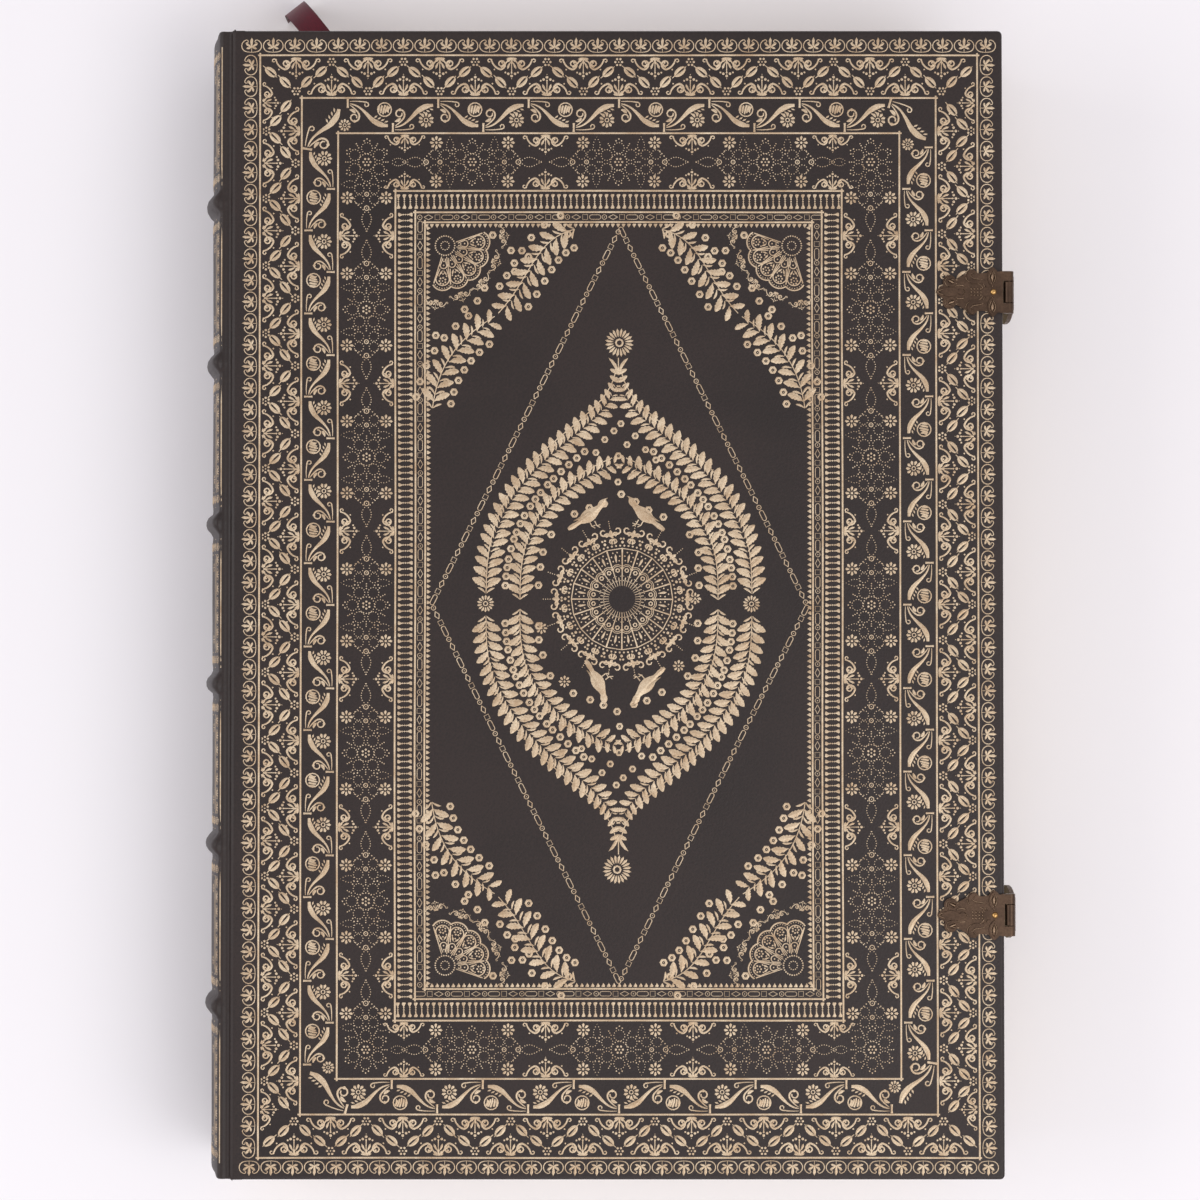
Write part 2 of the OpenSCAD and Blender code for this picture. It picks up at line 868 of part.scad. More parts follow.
// Outline of a cast plate with a leaf tip; the board's edge is at X = 0 and the tip points to -X.
module plate_outline(grow) {
  translate([tip_l / 2 - plate_l, 0])
    rotate(90)
      pointed_oval(tip_l + 2 * grow, tip_w + 2 * grow);
  for (side = [-1, 1]) {
    translate([2 * side_lobe_r - plate_l, side * side_lobe_y])
      circle(r = side_lobe_r + grow);
    translate([-waist_x, side * (plate_half - 1.5)])
      circle(r = waist_lobe_r + grow);
    translate([-ear_lobe_l / 2, side * (plate_half - ear_lobe_w / 2)])
      pointed_oval(ear_lobe_l + 2 * grow, ear_lobe_w + 2 * grow);
  }
  polygon([
    [6 - plate_l, 4 + grow], [-14, plate_half - 0.6 + grow], [-9, plate_half - 0.9 + grow],
    [0, plate_half + grow], [0, -plate_half - grow], [-9, 0.9 - plate_half - grow],
    [-14, 0.6 - plate_half - grow], [6 - plate_l, -4 - grow]
  ]);
}

// Raised relief of a cast plate
module plate_relief() {
  translate([tip_l / 2 + 0.2 - plate_l, 0])
    rotate(90)
      pointed_oval(tip_l - 2.4, tip_w - 2.4);
  translate([tip_l - 0.4 - plate_l, 0])
    circle(r = 1.2);
  for (side = [-1, 1]) {
    translate([-ear_lobe_l / 2, side * (plate_half - ear_lobe_w / 2)])
      difference() {
        pointed_oval(ear_lobe_l - 1.2, ear_lobe_w - 1);
        pointed_oval(ear_lobe_l - 3, ear_lobe_w - 2.4);
      }
    scale([1, side])
      scroll_band();
    translate([2 * side_lobe_r + 0.6 - plate_l, side * side_lobe_y])
      difference() {
        circle(r = side_lobe_r - 0.6);
        circle(r = side_lobe_r - 1.4);
      }
  }
}

// A band in the shape of an S, as wide as its arcs' walls
module scroll_band() {
  foot = [1 - waist_x, 2 * scroll_r + 0.4];
  head = foot + [scroll_r + 0.2, scroll_w - 2 * scroll_r];
  translate(foot)
    difference() {
      intersection() {
        circle(r = scroll_r);
        translate([-scroll_r, -scroll_r])
          square([scroll_r, 2 * scroll_r]);
      }
      circle(r = scroll_r - scroll_w);
    }
  translate([foot[0] - 0.1, foot[1] - scroll_r])
    square([head[0] - foot[0] + 0.2, scroll_w]);
  translate(head)
    intersection() {
      difference() {
        circle(r = scroll_r);
        circle(r = scroll_r - scroll_w);
      }
      square(scroll_r);
    }
}

// One clasp plate, with two ears rolled round the hinge pin
module clasp_plate(side) {
  color(bronze_color)
    at_clasp(side, total_t + gilt_t)
      difference() {
        union() {
          linear_extrude(height = plate_t)
            plate_outline(0);
          translate([0, 0, plate_t / 2])
            linear_extrude(height = plate_t / 2 + relief_t)
              plate_relief();
          for (ear = [-1, 1])
            translate([0, ear * (plate_half + hasp_knuckle + run_gap) / 2, 0])
              ear(plate_half - hasp_knuckle - run_gap);
        }
        translate([rivet_x, 0, -1])
          cylinder(d = rivet_d + 2 * fit_gap, h = plate_t + 2);
        translate([hinge_pin_x, 0, hinge_pin_z - total_t - gilt_t])
          rotate([90, 0, 0])
            cylinder(r = pin_r + fit_gap, h = 3 * plate_half, center = true);
      }
}

// An ear: a flat tongue with a full ring at its end
module ear(w) {
  rotate([90, 0, 0])
    linear_extrude(height = w, center = true) {
      translate([-1, 0])
        square([hinge_pin_x + 1, plate_t]);
      translate([hinge_pin_x, plate_t - knuckle_r])
        circle(r = knuckle_r);
    }
}

module plate_rivet(side) {
  head_r = rivet_head_d / 2;
  color(brass_color)
    at_clasp(side, total_t)
      translate([rivet_x, 0, 0]) {
        translate([0, 0, -rivet_end])
          cylinder(d = rivet_d, h = rivet_end + gilt_t + plate_t + head_r / 2);
        translate([0, 0, gilt_t + plate_t])
          intersection() {
            translate([0, 0, -head_r / 4])
              sphere(r = head_r);
            cylinder(r = head_r + 1, h = head_r);
          }
      }
}

module hinge_pin(side) {
  color(bronze_color)
    at_clasp(side, 0)
      translate([hinge_pin_x, 0, hinge_pin_z])
        rotate([90, 0, 0])
          cylinder(r = pin_r, h = 2 * plate_half, center = true);
}

// Half width of a hasp at a distance below its neck, from 0 at the neck to 1 at the eye
function hasp_half(t) = t < 0.25
  ? hasp_neck + (hasp_wide - hasp_neck) * sin(360 * t)
  : eye_r + eye_wall + (hasp_wide - eye_r - eye_wall) * pow((1 + cos(240 * (t - 0.25))) / 2, 1.4);

// Outline of a hasp seen from the fore edge: X is along the book, Y is up
module hasp_outline(inset) {
  low = catch_z;
  high = hasp_top_z;
  half = [for (i = [0:16]) [hasp_half(i / 16) - inset, high - inset - (high - low - inset) * i / 16]];
  polygon(concat(half, [for (i = [16:-1:0]) [-half[i][0], half[i][1]]]));
}

module hasp(side) {
  color(bronze_color)
    at_clasp(side, 0)
      difference() {
        union() {
          translate([hasp_face_x - hasp_t, 0, 0])
            rotate([90, 0, 90]) {
              linear_extrude(height = hasp_t)
                hasp_outline(0);
              translate([0, catch_z])
                cylinder(r = eye_r + eye_wall, h = hasp_t);
              linear_extrude(height = hasp_t)
                translate([-hasp_knuckle, hasp_top_z - 1])
                  square([2 * hasp_knuckle, hinge_pin_z - hasp_top_z + 1]);
              translate([0, 0, hasp_t / 2])
                linear_extrude(height = hasp_t / 2 + relief_t)
                  hasp_relief();
            }
          translate([hinge_pin_x, 0, hinge_pin_z])
            rotate([90, 0, 0])
              cylinder(r = knuckle_r, h = 2 * hasp_knuckle, center = true);
        }
        translate([hinge_pin_x, 0, hinge_pin_z])
          rotate([90, 0, 0])
            cylinder(r = pin_r + pin_gap, h = 3 * hasp_knuckle, center = true);
        translate([hasp_face_x - hasp_t - 1, 0, catch_z])
          rotate([0, 90, 0])
            cylinder(r = eye_r, h = hasp_t + relief_t + 2);
      }
}

// Raised relief of a hasp: a pointed oval at its widest, a rim down its length and a ring round the eye
module hasp_relief() {
  boss_z = hasp_top_z - (hasp_top_z - catch_z) * 0.25;
  translate([0, boss_z])
    pointed_oval(16, 7);
  difference() {
    hasp_outline(0.4);
    hasp_outline(1.3);
    translate([0, catch_z])
      circle(r = eye_r + eye_wall);
  }
  for (i = [0:2])
    translate([0, boss_z - 15 - 6 * i])
      circle(r = 1.8 - 0.3 * i);
}

// Outline of a catch plate, let into the back cover's leather
module catch_outline(grow) {
  plate_outline(grow);
  translate([-1, -plate_half - grow])
    square([1 + plate_t + 2 * grow, 2 * (plate_half + grow)]);
}

module catch_plate(side) {
  color(bronze_color)
    at_clasp(side, 0)
      difference() {
        union() {
          linear_extrude(height = leather_t)
            catch_outline(0);
          translate([fit_gap, -plate_half, 0])
            cube([plate_t - fit_gap, 2 * plate_half, cover_t - endpaper_t]);
        }
        translate([rivet_x, 0, -1])
          cylinder(d = rivet_d + 2 * fit_gap, h = plate_t + 2);
        translate([-1, 0, catch_z])
          rotate([0, 90, 0])
            cylinder(r = catch_pin_r + fit_gap, h = plate_t + 2);
      }
}

module catch_pin_bores() {
  for (side = [-1, 1])
    at_clasp(side, catch_z)
      translate([-catch_pin_in - fit_gap, 0, 0])
        rotate([0, 90, 0])
          cylinder(r = catch_pin_r + fit_gap, h = catch_pin_in + 2);
}

module catch_pin(side) {
  color(brass_color)
    at_clasp(side, catch_z)
      rotate([0, 90, 0]) {
        translate([0, 0, -catch_pin_in])
          cylinder(r = catch_pin_r, h = catch_pin_in + catch_pin_out);
        translate([0, 0, catch_pin_out])
          sphere(r = catch_pin_r);
      }
}

module catch_rivet(side) {
  color(brass_color)
    at_clasp(side, 0)
      translate([rivet_x, 0, 0])
        cylinder(d = rivet_d, h = rivet_end);
}

back_board();
back_cover_leather();
back_infill();
back_pastedown();
catch_plate(1);  // upper_catch_plate
catch_plate(-1);  // lower_catch_plate
catch_rivet(1);  // upper_catch_rivet
catch_rivet(-1);  // lower_catch_rivet
catch_pin(1);  // upper_catch_pin
catch_pin(-1);  // lower_catch_pin
text_block();
front_flyleaf();
back_flyleaf();
spine_linings();
sewing_cord(0);  // sewing_cord_1
sewing_cord(1);  // sewing_cord_2
sewing_cord(2);  // sewing_cord_3
sewing_cord(3);  // sewing_cord_4
sewing_cord(4);  // sewing_cord_5
sewing_cord(5);  // sewing_cord_6
spine_leather();
spine_gilding();
headband();
tailband();
ribbon_marker();
front_board();
front_cover_leather();
front_infill();
front_pastedown();
front_gilt_lines();
front_gilt_borders();
front_gilt_panel();
clasp_plate(1);  // upper_clasp_plate
clasp_plate(-1);  // lower_clasp_plate
plate_rivet(1);  // upper_plate_rivet
plate_rivet(-1);  // lower_plate_rivet
hinge_pin(1);  // upper_hinge_pin
hinge_pin(-1);  // lower_hinge_pin
hasp(1);  // upper_hasp
hasp(-1);  // lower_hasp
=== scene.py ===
"""Fine pieces and finishes of a large leather book with raised bands, gold tooling and two clasps.

Lengths are in millimetres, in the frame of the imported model: X to the fore edge, Y to the head and
Z up out of the front cover. A finished mesh is scaled to metres once, in `make_piece`.
"""

import json
import logging
import math
import random
from collections.abc import Callable
from dataclasses import dataclass
from enum import Enum
from functools import partial

import bmesh
import bpy
from mathutils import Matrix, Vector
from mathutils.geometry import interpolate_bezier


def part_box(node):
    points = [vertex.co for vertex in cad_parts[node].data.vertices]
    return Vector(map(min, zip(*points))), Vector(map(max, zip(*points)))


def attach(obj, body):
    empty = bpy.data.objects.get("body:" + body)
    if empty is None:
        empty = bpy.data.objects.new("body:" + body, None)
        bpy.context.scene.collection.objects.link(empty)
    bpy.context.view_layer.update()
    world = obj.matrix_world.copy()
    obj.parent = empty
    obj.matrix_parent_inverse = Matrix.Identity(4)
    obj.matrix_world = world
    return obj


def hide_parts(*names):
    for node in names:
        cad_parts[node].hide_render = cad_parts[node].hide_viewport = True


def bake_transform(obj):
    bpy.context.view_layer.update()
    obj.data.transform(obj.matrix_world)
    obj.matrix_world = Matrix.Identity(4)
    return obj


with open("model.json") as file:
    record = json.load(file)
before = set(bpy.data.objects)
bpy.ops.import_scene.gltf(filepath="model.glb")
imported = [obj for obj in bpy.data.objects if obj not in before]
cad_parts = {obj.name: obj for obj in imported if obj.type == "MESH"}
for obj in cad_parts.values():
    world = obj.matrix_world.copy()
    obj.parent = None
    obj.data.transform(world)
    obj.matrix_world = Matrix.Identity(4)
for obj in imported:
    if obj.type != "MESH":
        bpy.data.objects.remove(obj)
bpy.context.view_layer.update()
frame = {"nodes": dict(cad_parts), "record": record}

MM = 0.001
SIDES = (-1, 1)
LOG = logging.getLogger("book")
BMesh = bmesh.types.BMesh
NodeTree = bpy.types.NodeTree
Socket = bpy.types.NodeSocket


def box_mm(node: str) -> tuple[Vector, Vector]:
    """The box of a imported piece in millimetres.

    Args:
        node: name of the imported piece.

    Returns:
        Its lowest and its highest corner.
    """
    low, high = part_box(node)
    return Vector(low) / MM, Vector(high) / MM


def smooth(t: float) -> float:
    """A soft step from 0 to 1 as t goes from 0 to 1."""
    t = min(1.0, max(0.0, t))
    return t * t * (3 - 2 * t)


def polar(x: float, y: float, radius: float, degrees: float) -> tuple[float, float]:
    """The point at a distance and in a direction from another one."""
    a = math.radians(degrees)
    return x + radius * math.cos(a), y + radius * math.sin(a)


def around(row: tuple, column: tuple) -> zip:
    """What is given for a rectangle's rows and columns, for its four sides, each with its turn in degrees."""
    return zip((0, 90, 180, 270), (row, column, row, column))


def grow(bm: BMesh, edges: list) -> tuple[set, list]:
    """Extrudes edges where they are.

    Args:
        bm: the mesh.
        edges: the edges.

    Returns:
        The new vertices and the new edges between them.
    """
    grown = bmesh.ops.extrude_edge_only(bm, edges=edges)["geom"]
    fresh = {g for g in grown if isinstance(g, bmesh.types.BMVert)}
    return fresh, [g for g in grown if isinstance(g, bmesh.types.BMEdge) and fresh.issuperset(g.verts)]


def linear_colour(code: str) -> tuple[float, float, float, float]:
    """Turns an sRGB hex colour to the linear values that a shader takes.

    Args:
        code: six hex digits after a hash sign.

    Returns:
        Red, green, blue and an alpha of 1.
    """
    channels = []
    for i in (1, 3, 5):
        c = int(code[i:i + 2], 16) / 255
        channels.append(c / 12.92 if c <= 0.04045 else ((c + 0.055) / 1.055) ** 2.4)
    return (*channels, 1.0)


# Finishes


class Grain(Enum):
    """The pattern that gives a surface its relief."""

    PEBBLE = "pebble"
    CAST = "cast"
    LEAF = "leaf"
    FIBRE = "fibre"
    STACK = "stack"
    THREAD = "thread"


# How far a grain that runs in lines is drawn out along each axis; 1 is not at all.
STRETCH = {Grain.STACK: (0.04, 0.04, 1.0), Grain.THREAD: (1.0, 0.12, 1.0), Grain.FIBRE: (1.0, 0.35, 1.0)}


def add_node(tree: NodeTree, kind: str, inputs: dict | None = None, **settings: object) -> bpy.types.Node:
    """Adds one node to a tree.

    Args:
        tree: the node tree.
        kind: the node's type name.
        inputs: value or output socket for each input, by name or number.
        settings: the node's own properties.

    Returns:
        The new node.
    """
    node = tree.nodes.new(kind)
    for name, value in settings.items():
        setattr(node, name, value)
    for key, value in (inputs or {}).items():
        if isinstance(value, Socket):
            tree.links.new(value, node.inputs[key])
        else:
            node.inputs[key].default_value = value
    return node


@dataclass(frozen=True)
class Finish:
    """A surface as its maker left it, and as use has changed it since."""

    name: str
    colour: str
    second_colour: str
    roughness: float
    grain: Grain
    grain_mm: float
    depth_mm: float
    mottle_mm: float = 30.0
    metallic: float = 0.0
    gloss_spread: float = 0.12
    specular: float = 0.5
    sheen: float = 0.0
    uv: bool = False

    @property
    def unit(self) -> float:
        """A millimetre in the pattern's coordinates: UV maps are in millimetres, Object ones in metres."""
        return 1 if self.uv else MM

    def relief(self, tree: NodeTree, coords: Socket) -> Socket:
        """Adds the nodes of the grain.

        Args:
            tree: the material's node tree.
            coords: output socket with the place on the piece.

        Returns:
            Output socket with the height of the grain, from 0 to 1.
        """
        scale = 1 / (self.grain_mm * self.unit)
        if self.grain is Grain.PEBBLE:
            cells = add_node(tree, "ShaderNodeTexVoronoi", {"Vector": coords, "Scale": scale},
                             feature="SMOOTH_F1")
            hair = add_node(tree, "ShaderNodeTexNoise",
                            {"Vector": coords, "Scale": scale * 2.7, "Detail": 3.0})
            return add_node(tree, "ShaderNodeMath",
                            {0: hair.outputs["Fac"], 1: 0.5, 2: cells.outputs["Distance"]},
                            operation="MULTIPLY_ADD").outputs[0]
        detail, rough = 5.0 if self.grain is Grain.CAST else 2.0, 0.65
        if self.grain in STRETCH:
            coords = add_node(tree, "ShaderNodeMapping",
                              {"Vector": coords, "Scale": STRETCH[self.grain]}).outputs[0]
            detail, rough = 4.0, 0.6
        return add_node(tree, "ShaderNodeTexNoise", {"Vector": coords, "Scale": scale, "Detail": detail,
                                                     "Roughness": rough}).outputs["Fac"]

    def material(self) -> bpy.types.Material:
        """Builds the material once and gives it back.

        Returns:
            The Blender material of this finish.
        """
        made = bpy.data.materials.get(self.name)
        if made is not None:
            return made
        made = bpy.data.materials.new(self.name)
        made.use_nodes = True
        tree = made.node_tree
        tree.nodes.clear()
        coords = add_node(tree, "ShaderNodeTexCoord").outputs["UV" if self.uv else "Object"]
        height = self.relief(tree, coords)
        clouds = add_node(tree, "ShaderNodeTexNoise", {
            "Vector": coords, "Detail": 4.0, "Scale": 1 / (self.mottle_mm * self.unit)}).outputs["Fac"]
        blend = add_node(tree, "ShaderNodeMath", {0: clouds, 1: height}, operation="MULTIPLY")
        spread = add_node(tree, "ShaderNodeMapRange", {
            "Value": blend.outputs[0], "From Min": 0.1, "From Max": 0.45})
        colour = add_node(tree, "ShaderNodeMix", {"Factor": spread.outputs[0]}, data_type="RGBA")
        for name, value in (("A", self.second_colour), ("B", self.colour)):
            socket = next(s for s in colour.inputs if s.name == name and s.type == "RGBA")
            socket.default_value = linear_colour(value)
        mixed = next(s for s in colour.outputs if s.type == "RGBA")
        gloss = add_node(tree, "ShaderNodeMapRange", {
            "Value": clouds, "From Min": 0.3, "From Max": 0.7,
            "To Min": self.roughness - self.gloss_spread / 2,
            "To Max": self.roughness + self.gloss_spread / 2})
        bump = add_node(tree, "ShaderNodeBump", {
            "Height": height, "Distance": self.depth_mm * MM, "Strength": 1.0})
        shader = add_node(tree, "ShaderNodeBsdfPrincipled", {
            "Base Color": mixed, "Metallic": self.metallic, "Roughness": gloss.outputs[0],
            "Normal": bump.outputs[0], "Specular IOR Level": self.specular, "Sheen Weight": self.sheen})
        output = add_node(tree, "ShaderNodeOutputMaterial")
        tree.links.new(shader.outputs[0], output.inputs["Surface"])
        return made


# Goatskin, dyed near black and glazed by hand: a fine pebbled grain with a low grey sheen.
GOATSKIN = Finish("dyed_goatskin", "#291d1a", "#1d1412", 0.48, Grain.PEBBLE, 0.9, 0.05, 45.0, specular=0.4)
# Gold leaf struck through glaire with hot tools: thin, a little broken, with a soft shine.
GOLD_LEAF = Finish("tooled_gold_leaf", "#e6d4b8", "#b09373", 0.5, Grain.LEAF, 0.5, 0.02, 6.0, metallic=0.6)
# Cast bronze left to darken: brown in the hollows; the lighter colour of its high parts is partly wear and
# partly painted highlight.
BRONZE = Finish("dark_cast_bronze", "#665040", "#43342a", 0.42, Grain.CAST, 0.8, 0.02, 6.0, metallic=0.85)
# The raised ornament of that bronze, painted lighter: partly where hands and cloths have worn the dark away,
# partly as a painted highlight along its ridges.
RUBBED_AND_HIGHLIT_BRONZE = Finish("rubbed_and_highlit_bronze", "#a98f76", "#7f6753", 0.36, Grain.CAST, 0.8, 0.02, 4.0,
                     metallic=0.85)
# Brass rubbed bright by fingers.
BRASS = Finish("rubbed_brass", "#e2b878", "#a87a45", 0.3, Grain.CAST, 0.6, 0.01, 2.0, metallic=1.0)
# Laid endpaper, handmade: faint lines of the mould, 0.8 mm apart.
ENDPAPER = Finish("laid_endpaper", "#e6dcc4", "#d3c6a8", 0.85, Grain.FIBRE, 0.8, 0.02, 60.0)
# Paper seen on its cut edges: hundreds of sheets, 0.15 mm each, drawn 0.4 mm apart to show.
LEAF_EDGES = Finish("cut_leaf_edges", "#e0d3b6", "#c4b491", 0.8, Grain.STACK, 0.4, 0.06, 9.0)
# Grey binder's board, pressed from waste paper.
BOARD = Finish("binders_board", "#948a7b", "#7d7467", 0.9, Grain.FIBRE, 1.2, 0.05, 8.0)
# Hemp cord, twisted and waxed.
HEMP = Finish("waxed_hemp", "#bfa67a", "#8c7550", 0.8, Grain.THREAD, 0.5, 0.1, 5.0)
# Silk wound over a core, in two colours.
RED_SILK = Finish("crimson_silk", "#7d1a2b", "#571020", 0.45, Grain.THREAD, 0.2, 0.02, 3.0, sheen=0.3)
CREAM_SILK = Finish("cream_silk", "#d9c9a0", "#b39f74", 0.5, Grain.THREAD, 0.2, 0.02, 3.0, sheen=0.3)
# Burgundy satin ribbon: threads 0.15 mm apart, drawn 0.3 mm apart to show.
SATIN = Finish("burgundy_satin", "#5e0620", "#400414", 0.5, Grain.THREAD, 0.3, 0.02, 12.0, specular=0.3,
               sheen=0.1, uv=True)


def finish_mesh(name: str, bm: BMesh) -> bpy.types.Mesh:
    """Turns a drawing into a mesh.

    Args:
        name: the mesh's name.
        bm: the drawing, which is freed.

    Returns:
        The mesh.
    """
    mesh = bpy.data.meshes.new(name)
    bm.to_mesh(mesh)
    bm.free()
    return mesh


def add_object(name: str, data: bpy.types.ID) -> bpy.types.Object:
    """Puts something in the scene.

    Args:
        name: the object's name.
        data: its mesh, lamp or camera.

    Returns:
        The object.
    """
    thing = bpy.data.objects.new(name, data)
    bpy.context.scene.collection.objects.link(thing)
    return thing


def make_piece(name: str, bm: BMesh, finishes: tuple, crisp: bool = False) -> bpy.types.Object:
    """Makes an object in metres from a mesh in millimetres, and reports it.

    Args:
        name: the piece's name.
        bm: the mesh in millimetres, which is freed.
        finishes: the piece's finishes, in the order of the faces' material numbers.
        crisp: True for flat faces, False for smooth ones.

    Returns:
        The new object, with its place in its mesh.
    """
    bmesh.ops.scale(bm, vec=(MM, MM, MM), verts=bm.verts)
    for face in bm.faces:
        face.smooth = not crisp
    mesh = finish_mesh(name, bm)
    piece = add_object(name, mesh)
    for finish in finishes:
        mesh.materials.append(finish.material())
    low, high = ([round(pick(v.co[i] for v in mesh.vertices) / MM, 1) for i in range(3)]
                 for pick in (min, max))
    LOG.info("%s: %d faces, %s to %s", name, len(mesh.polygons), low, high)
    return piece


# Strokes of gold


@dataclass(frozen=True)
class Move:
    """One run of a stroke: its length, its turn to the left in degrees and its widths, one for each step."""

    length: float
    turn: float
    widths: tuple[float, ...]
    tighten: float = 0.0  # how much more it turns at its end than in its middle


def placed(x: float, y: float, turn: float) -> Matrix:
    """Moves the origin to a place on the plane z = 0, turned to the left by some degrees."""
    return Matrix.Translation((x, y, 0)) @ Matrix.Rotation(math.radians(turn), 4, "Z")


def even(width: float, steps: int) -> tuple[float, ...]:
    """The widths of a run that keeps one width."""
    return (width,) * steps


def taper(start: float, end: float, steps: int) -> tuple[float, ...]:
    """The widths of a run that goes from one width to another."""
    return tuple(start + (end - start) * (i + 1) / steps for i in range(steps))


def straight(length: float, width: float, steps: int = 1) -> Move:
    """A straight run of one width."""
    return Move(length, 0, even(width, steps))


POINT = 0.08  # width of a stroke's pointed end
RIDGE = 0.1  # height of a thin stroke's middle line
BOLD_RIDGE = 0.14  # the same of a broad leaf or horn
CAST_RIDGE = 0.12  # the same of the clasps' ornament


def stroke(bm: BMesh, x: float, y: float, heading: float, width: float, *moves: Move,
           ridge: float = RIDGE) -> None:
    """Draws a stroke as a low closed ridge on the plane z = 0.

    Args:
        bm: the mesh that takes the stroke.
        x: start of the stroke.
        y: start of the stroke.
        heading: its first direction, in degrees from +X.
        width: its first width.
        moves: its runs, one after another.
        ridge: height of its middle line.
    """
    def section() -> Matrix:
        """Place, turn and width of the stroke's section where it has come to."""
        return placed(x, y, heading) @ Matrix.Diagonal((1, width, 1, 1))

    here = section()
    corners = [bm.verts.new(here @ Vector(c)) for c in ((0, -0.5, 0), (0, 0.5, 0), (0, 0, ridge))]
    edges = list(bm.faces.new(corners).edges)
    for move in moves:
        steps = len(move.widths)
        for i, width in enumerate(move.widths):
            angle = move.turn / steps * (1 + move.tighten * (2 * i + 1 - steps) / steps)
            x, y = polar(x, y, move.length / steps, heading + angle / 2)
            heading += angle
            fresh, edges = grow(bm, edges)
            there = section()
            bmesh.ops.transform(bm, matrix=there @ here.inverted(), verts=list(fresh))
            here = there
    bmesh.ops.contextual_create(bm, geom=edges)


def petal(bm: BMesh, x: float, y: float, heading: float, length: float, width: float, steps: int = 4,
          bend: float = 0.0) -> None:
    """Draws a leaf or petal that is widest past its middle.

    Args:
        bm: the mesh that takes it.
        x: place of its base.
        y: place of its base.
        heading: its direction, in degrees from +X.
        length: its length.
        width: its greatest width.
        steps: faces along it.
        bend: its turn to the left, in degrees.
    """
    widths = tuple(max(POINT, width * math.sin(math.pi * ((i + 1) / steps) ** 1.25)) for i in range(steps))
    stroke(bm, x, y, heading, width * 0.25, Move(length, bend, widths))


def dot(bm: BMesh, x: float, y: float, radius: float, corners: int = 5) -> None:
    """Strikes a small round point of gold."""
    bmesh.ops.create_cone(bm, cap_ends=True, segments=corners, radius1=radius, radius2=0, depth=RIDGE,
                          matrix=Matrix.Translation((x, y, RIDGE / 2)))


def ring(bm: BMesh, x: float, y: float, radius: float, width: float, steps: int = 10,
         scallop: float = 0.0, start: float = 0.0) -> None:
    """Draws a ring; a scallop makes every other step that much wider.

    Args:
        bm: the mesh that takes it.
        x: place of its centre.
        y: place of its centre.
        radius: radius of its middle line.
        width: width of its line.
        steps: corners of its middle line.
        scallop: added width of every other step.
        start: angle of its first corner.
    """
    side = 2 * radius * math.sin(math.pi / steps)
    widths = tuple(width + scallop * (i % 2) for i in range(steps))
    stroke(bm, *polar(x, y, radius, start), start + 90, widths[-1], Move(side * steps, 360, widths))


def dotted(bm: BMesh, points: list, radius: float) -> None:
    """Strikes a dot at each point."""
    for x, y in points:
        dot(bm, x, y, radius)


def petals_round(bm: BMesh, x: float, y: float, inner: float, turns: list[float], length: float,
                 width: float) -> None:
    """Draws petals that point away from a centre, one at each of some turns."""
    for turn in turns:
        petal(bm, *polar(x, y, inner, turn), turn, length, width, 3)


def star_flower(bm: BMesh, x: float, y: float, radius: float, petals: int = 8) -> None:
    """Draws a flower of separate petals round a dot.

    Args:
        bm: the mesh that takes it.
        x: place of its centre.
        y: place of its centre.
        radius: its radius.
        petals: their number.
    """
    dot(bm, x, y, radius * 0.26)
    turns = [360 * i / petals for i in range(petals)]
    petals_round(bm, x, y, radius * 0.36, turns, radius * 0.66, radius * 0.5)


def ring_flower(bm: BMesh, x: float, y: float, radius: float = 1.7) -> None:
    """Draws a small six-lobed flower with an open eye."""
    ring(bm, x, y, radius * 0.64, radius * 0.56, 12, radius * 0.22)
    dot(bm, x, y, radius * 0.16)


def daisy(bm: BMesh, x: float, y: float, radius: float, petals: int) -> None:
    """Draws a daisy: many narrow petals round a ringed eye.

    Args:
        bm: the mesh that takes it.
        x: place of its centre.
        y: place of its centre.
        radius: its radius.
        petals: their number.
    """
    ring(bm, x, y, radius * 0.24, radius * 0.16, 8)
    turns = [360 * (i + 0.5) / petals for i in range(petals)]
    petals_round(bm, x, y, radius * 0.42, turns, radius * 0.58, radius * 4.6 / petals)


def on_ring(x: float, y: float, radius: float, count: int) -> list[tuple[float, float]]:
    """Points at even steps on a circle."""
    return [polar(x, y, radius, 360 * i / count) for i in range(count)]


def rule_frame(bm: BMesh, centre_y: float, row: tuple, column: tuple, width: float,
               past: float = 0.0) -> None:
    """Rules a rectangle, each side as its own stroke.

    Args:
        bm: the mesh that takes it.
        centre_y: place of its centre.
        row: half the length of a row, its distance from the centre and its steps.
        column: the same of a column.
        width: width of the lines.
        past: how far each side runs past the corners.
    """
    for turn, (length, away, steps) in around(row, column):
        x, y = Place(0, centre_y, turn).at(-length - past, away)
        stroke(bm, x, y, turn, width, straight(2 * (length + past), width, steps))


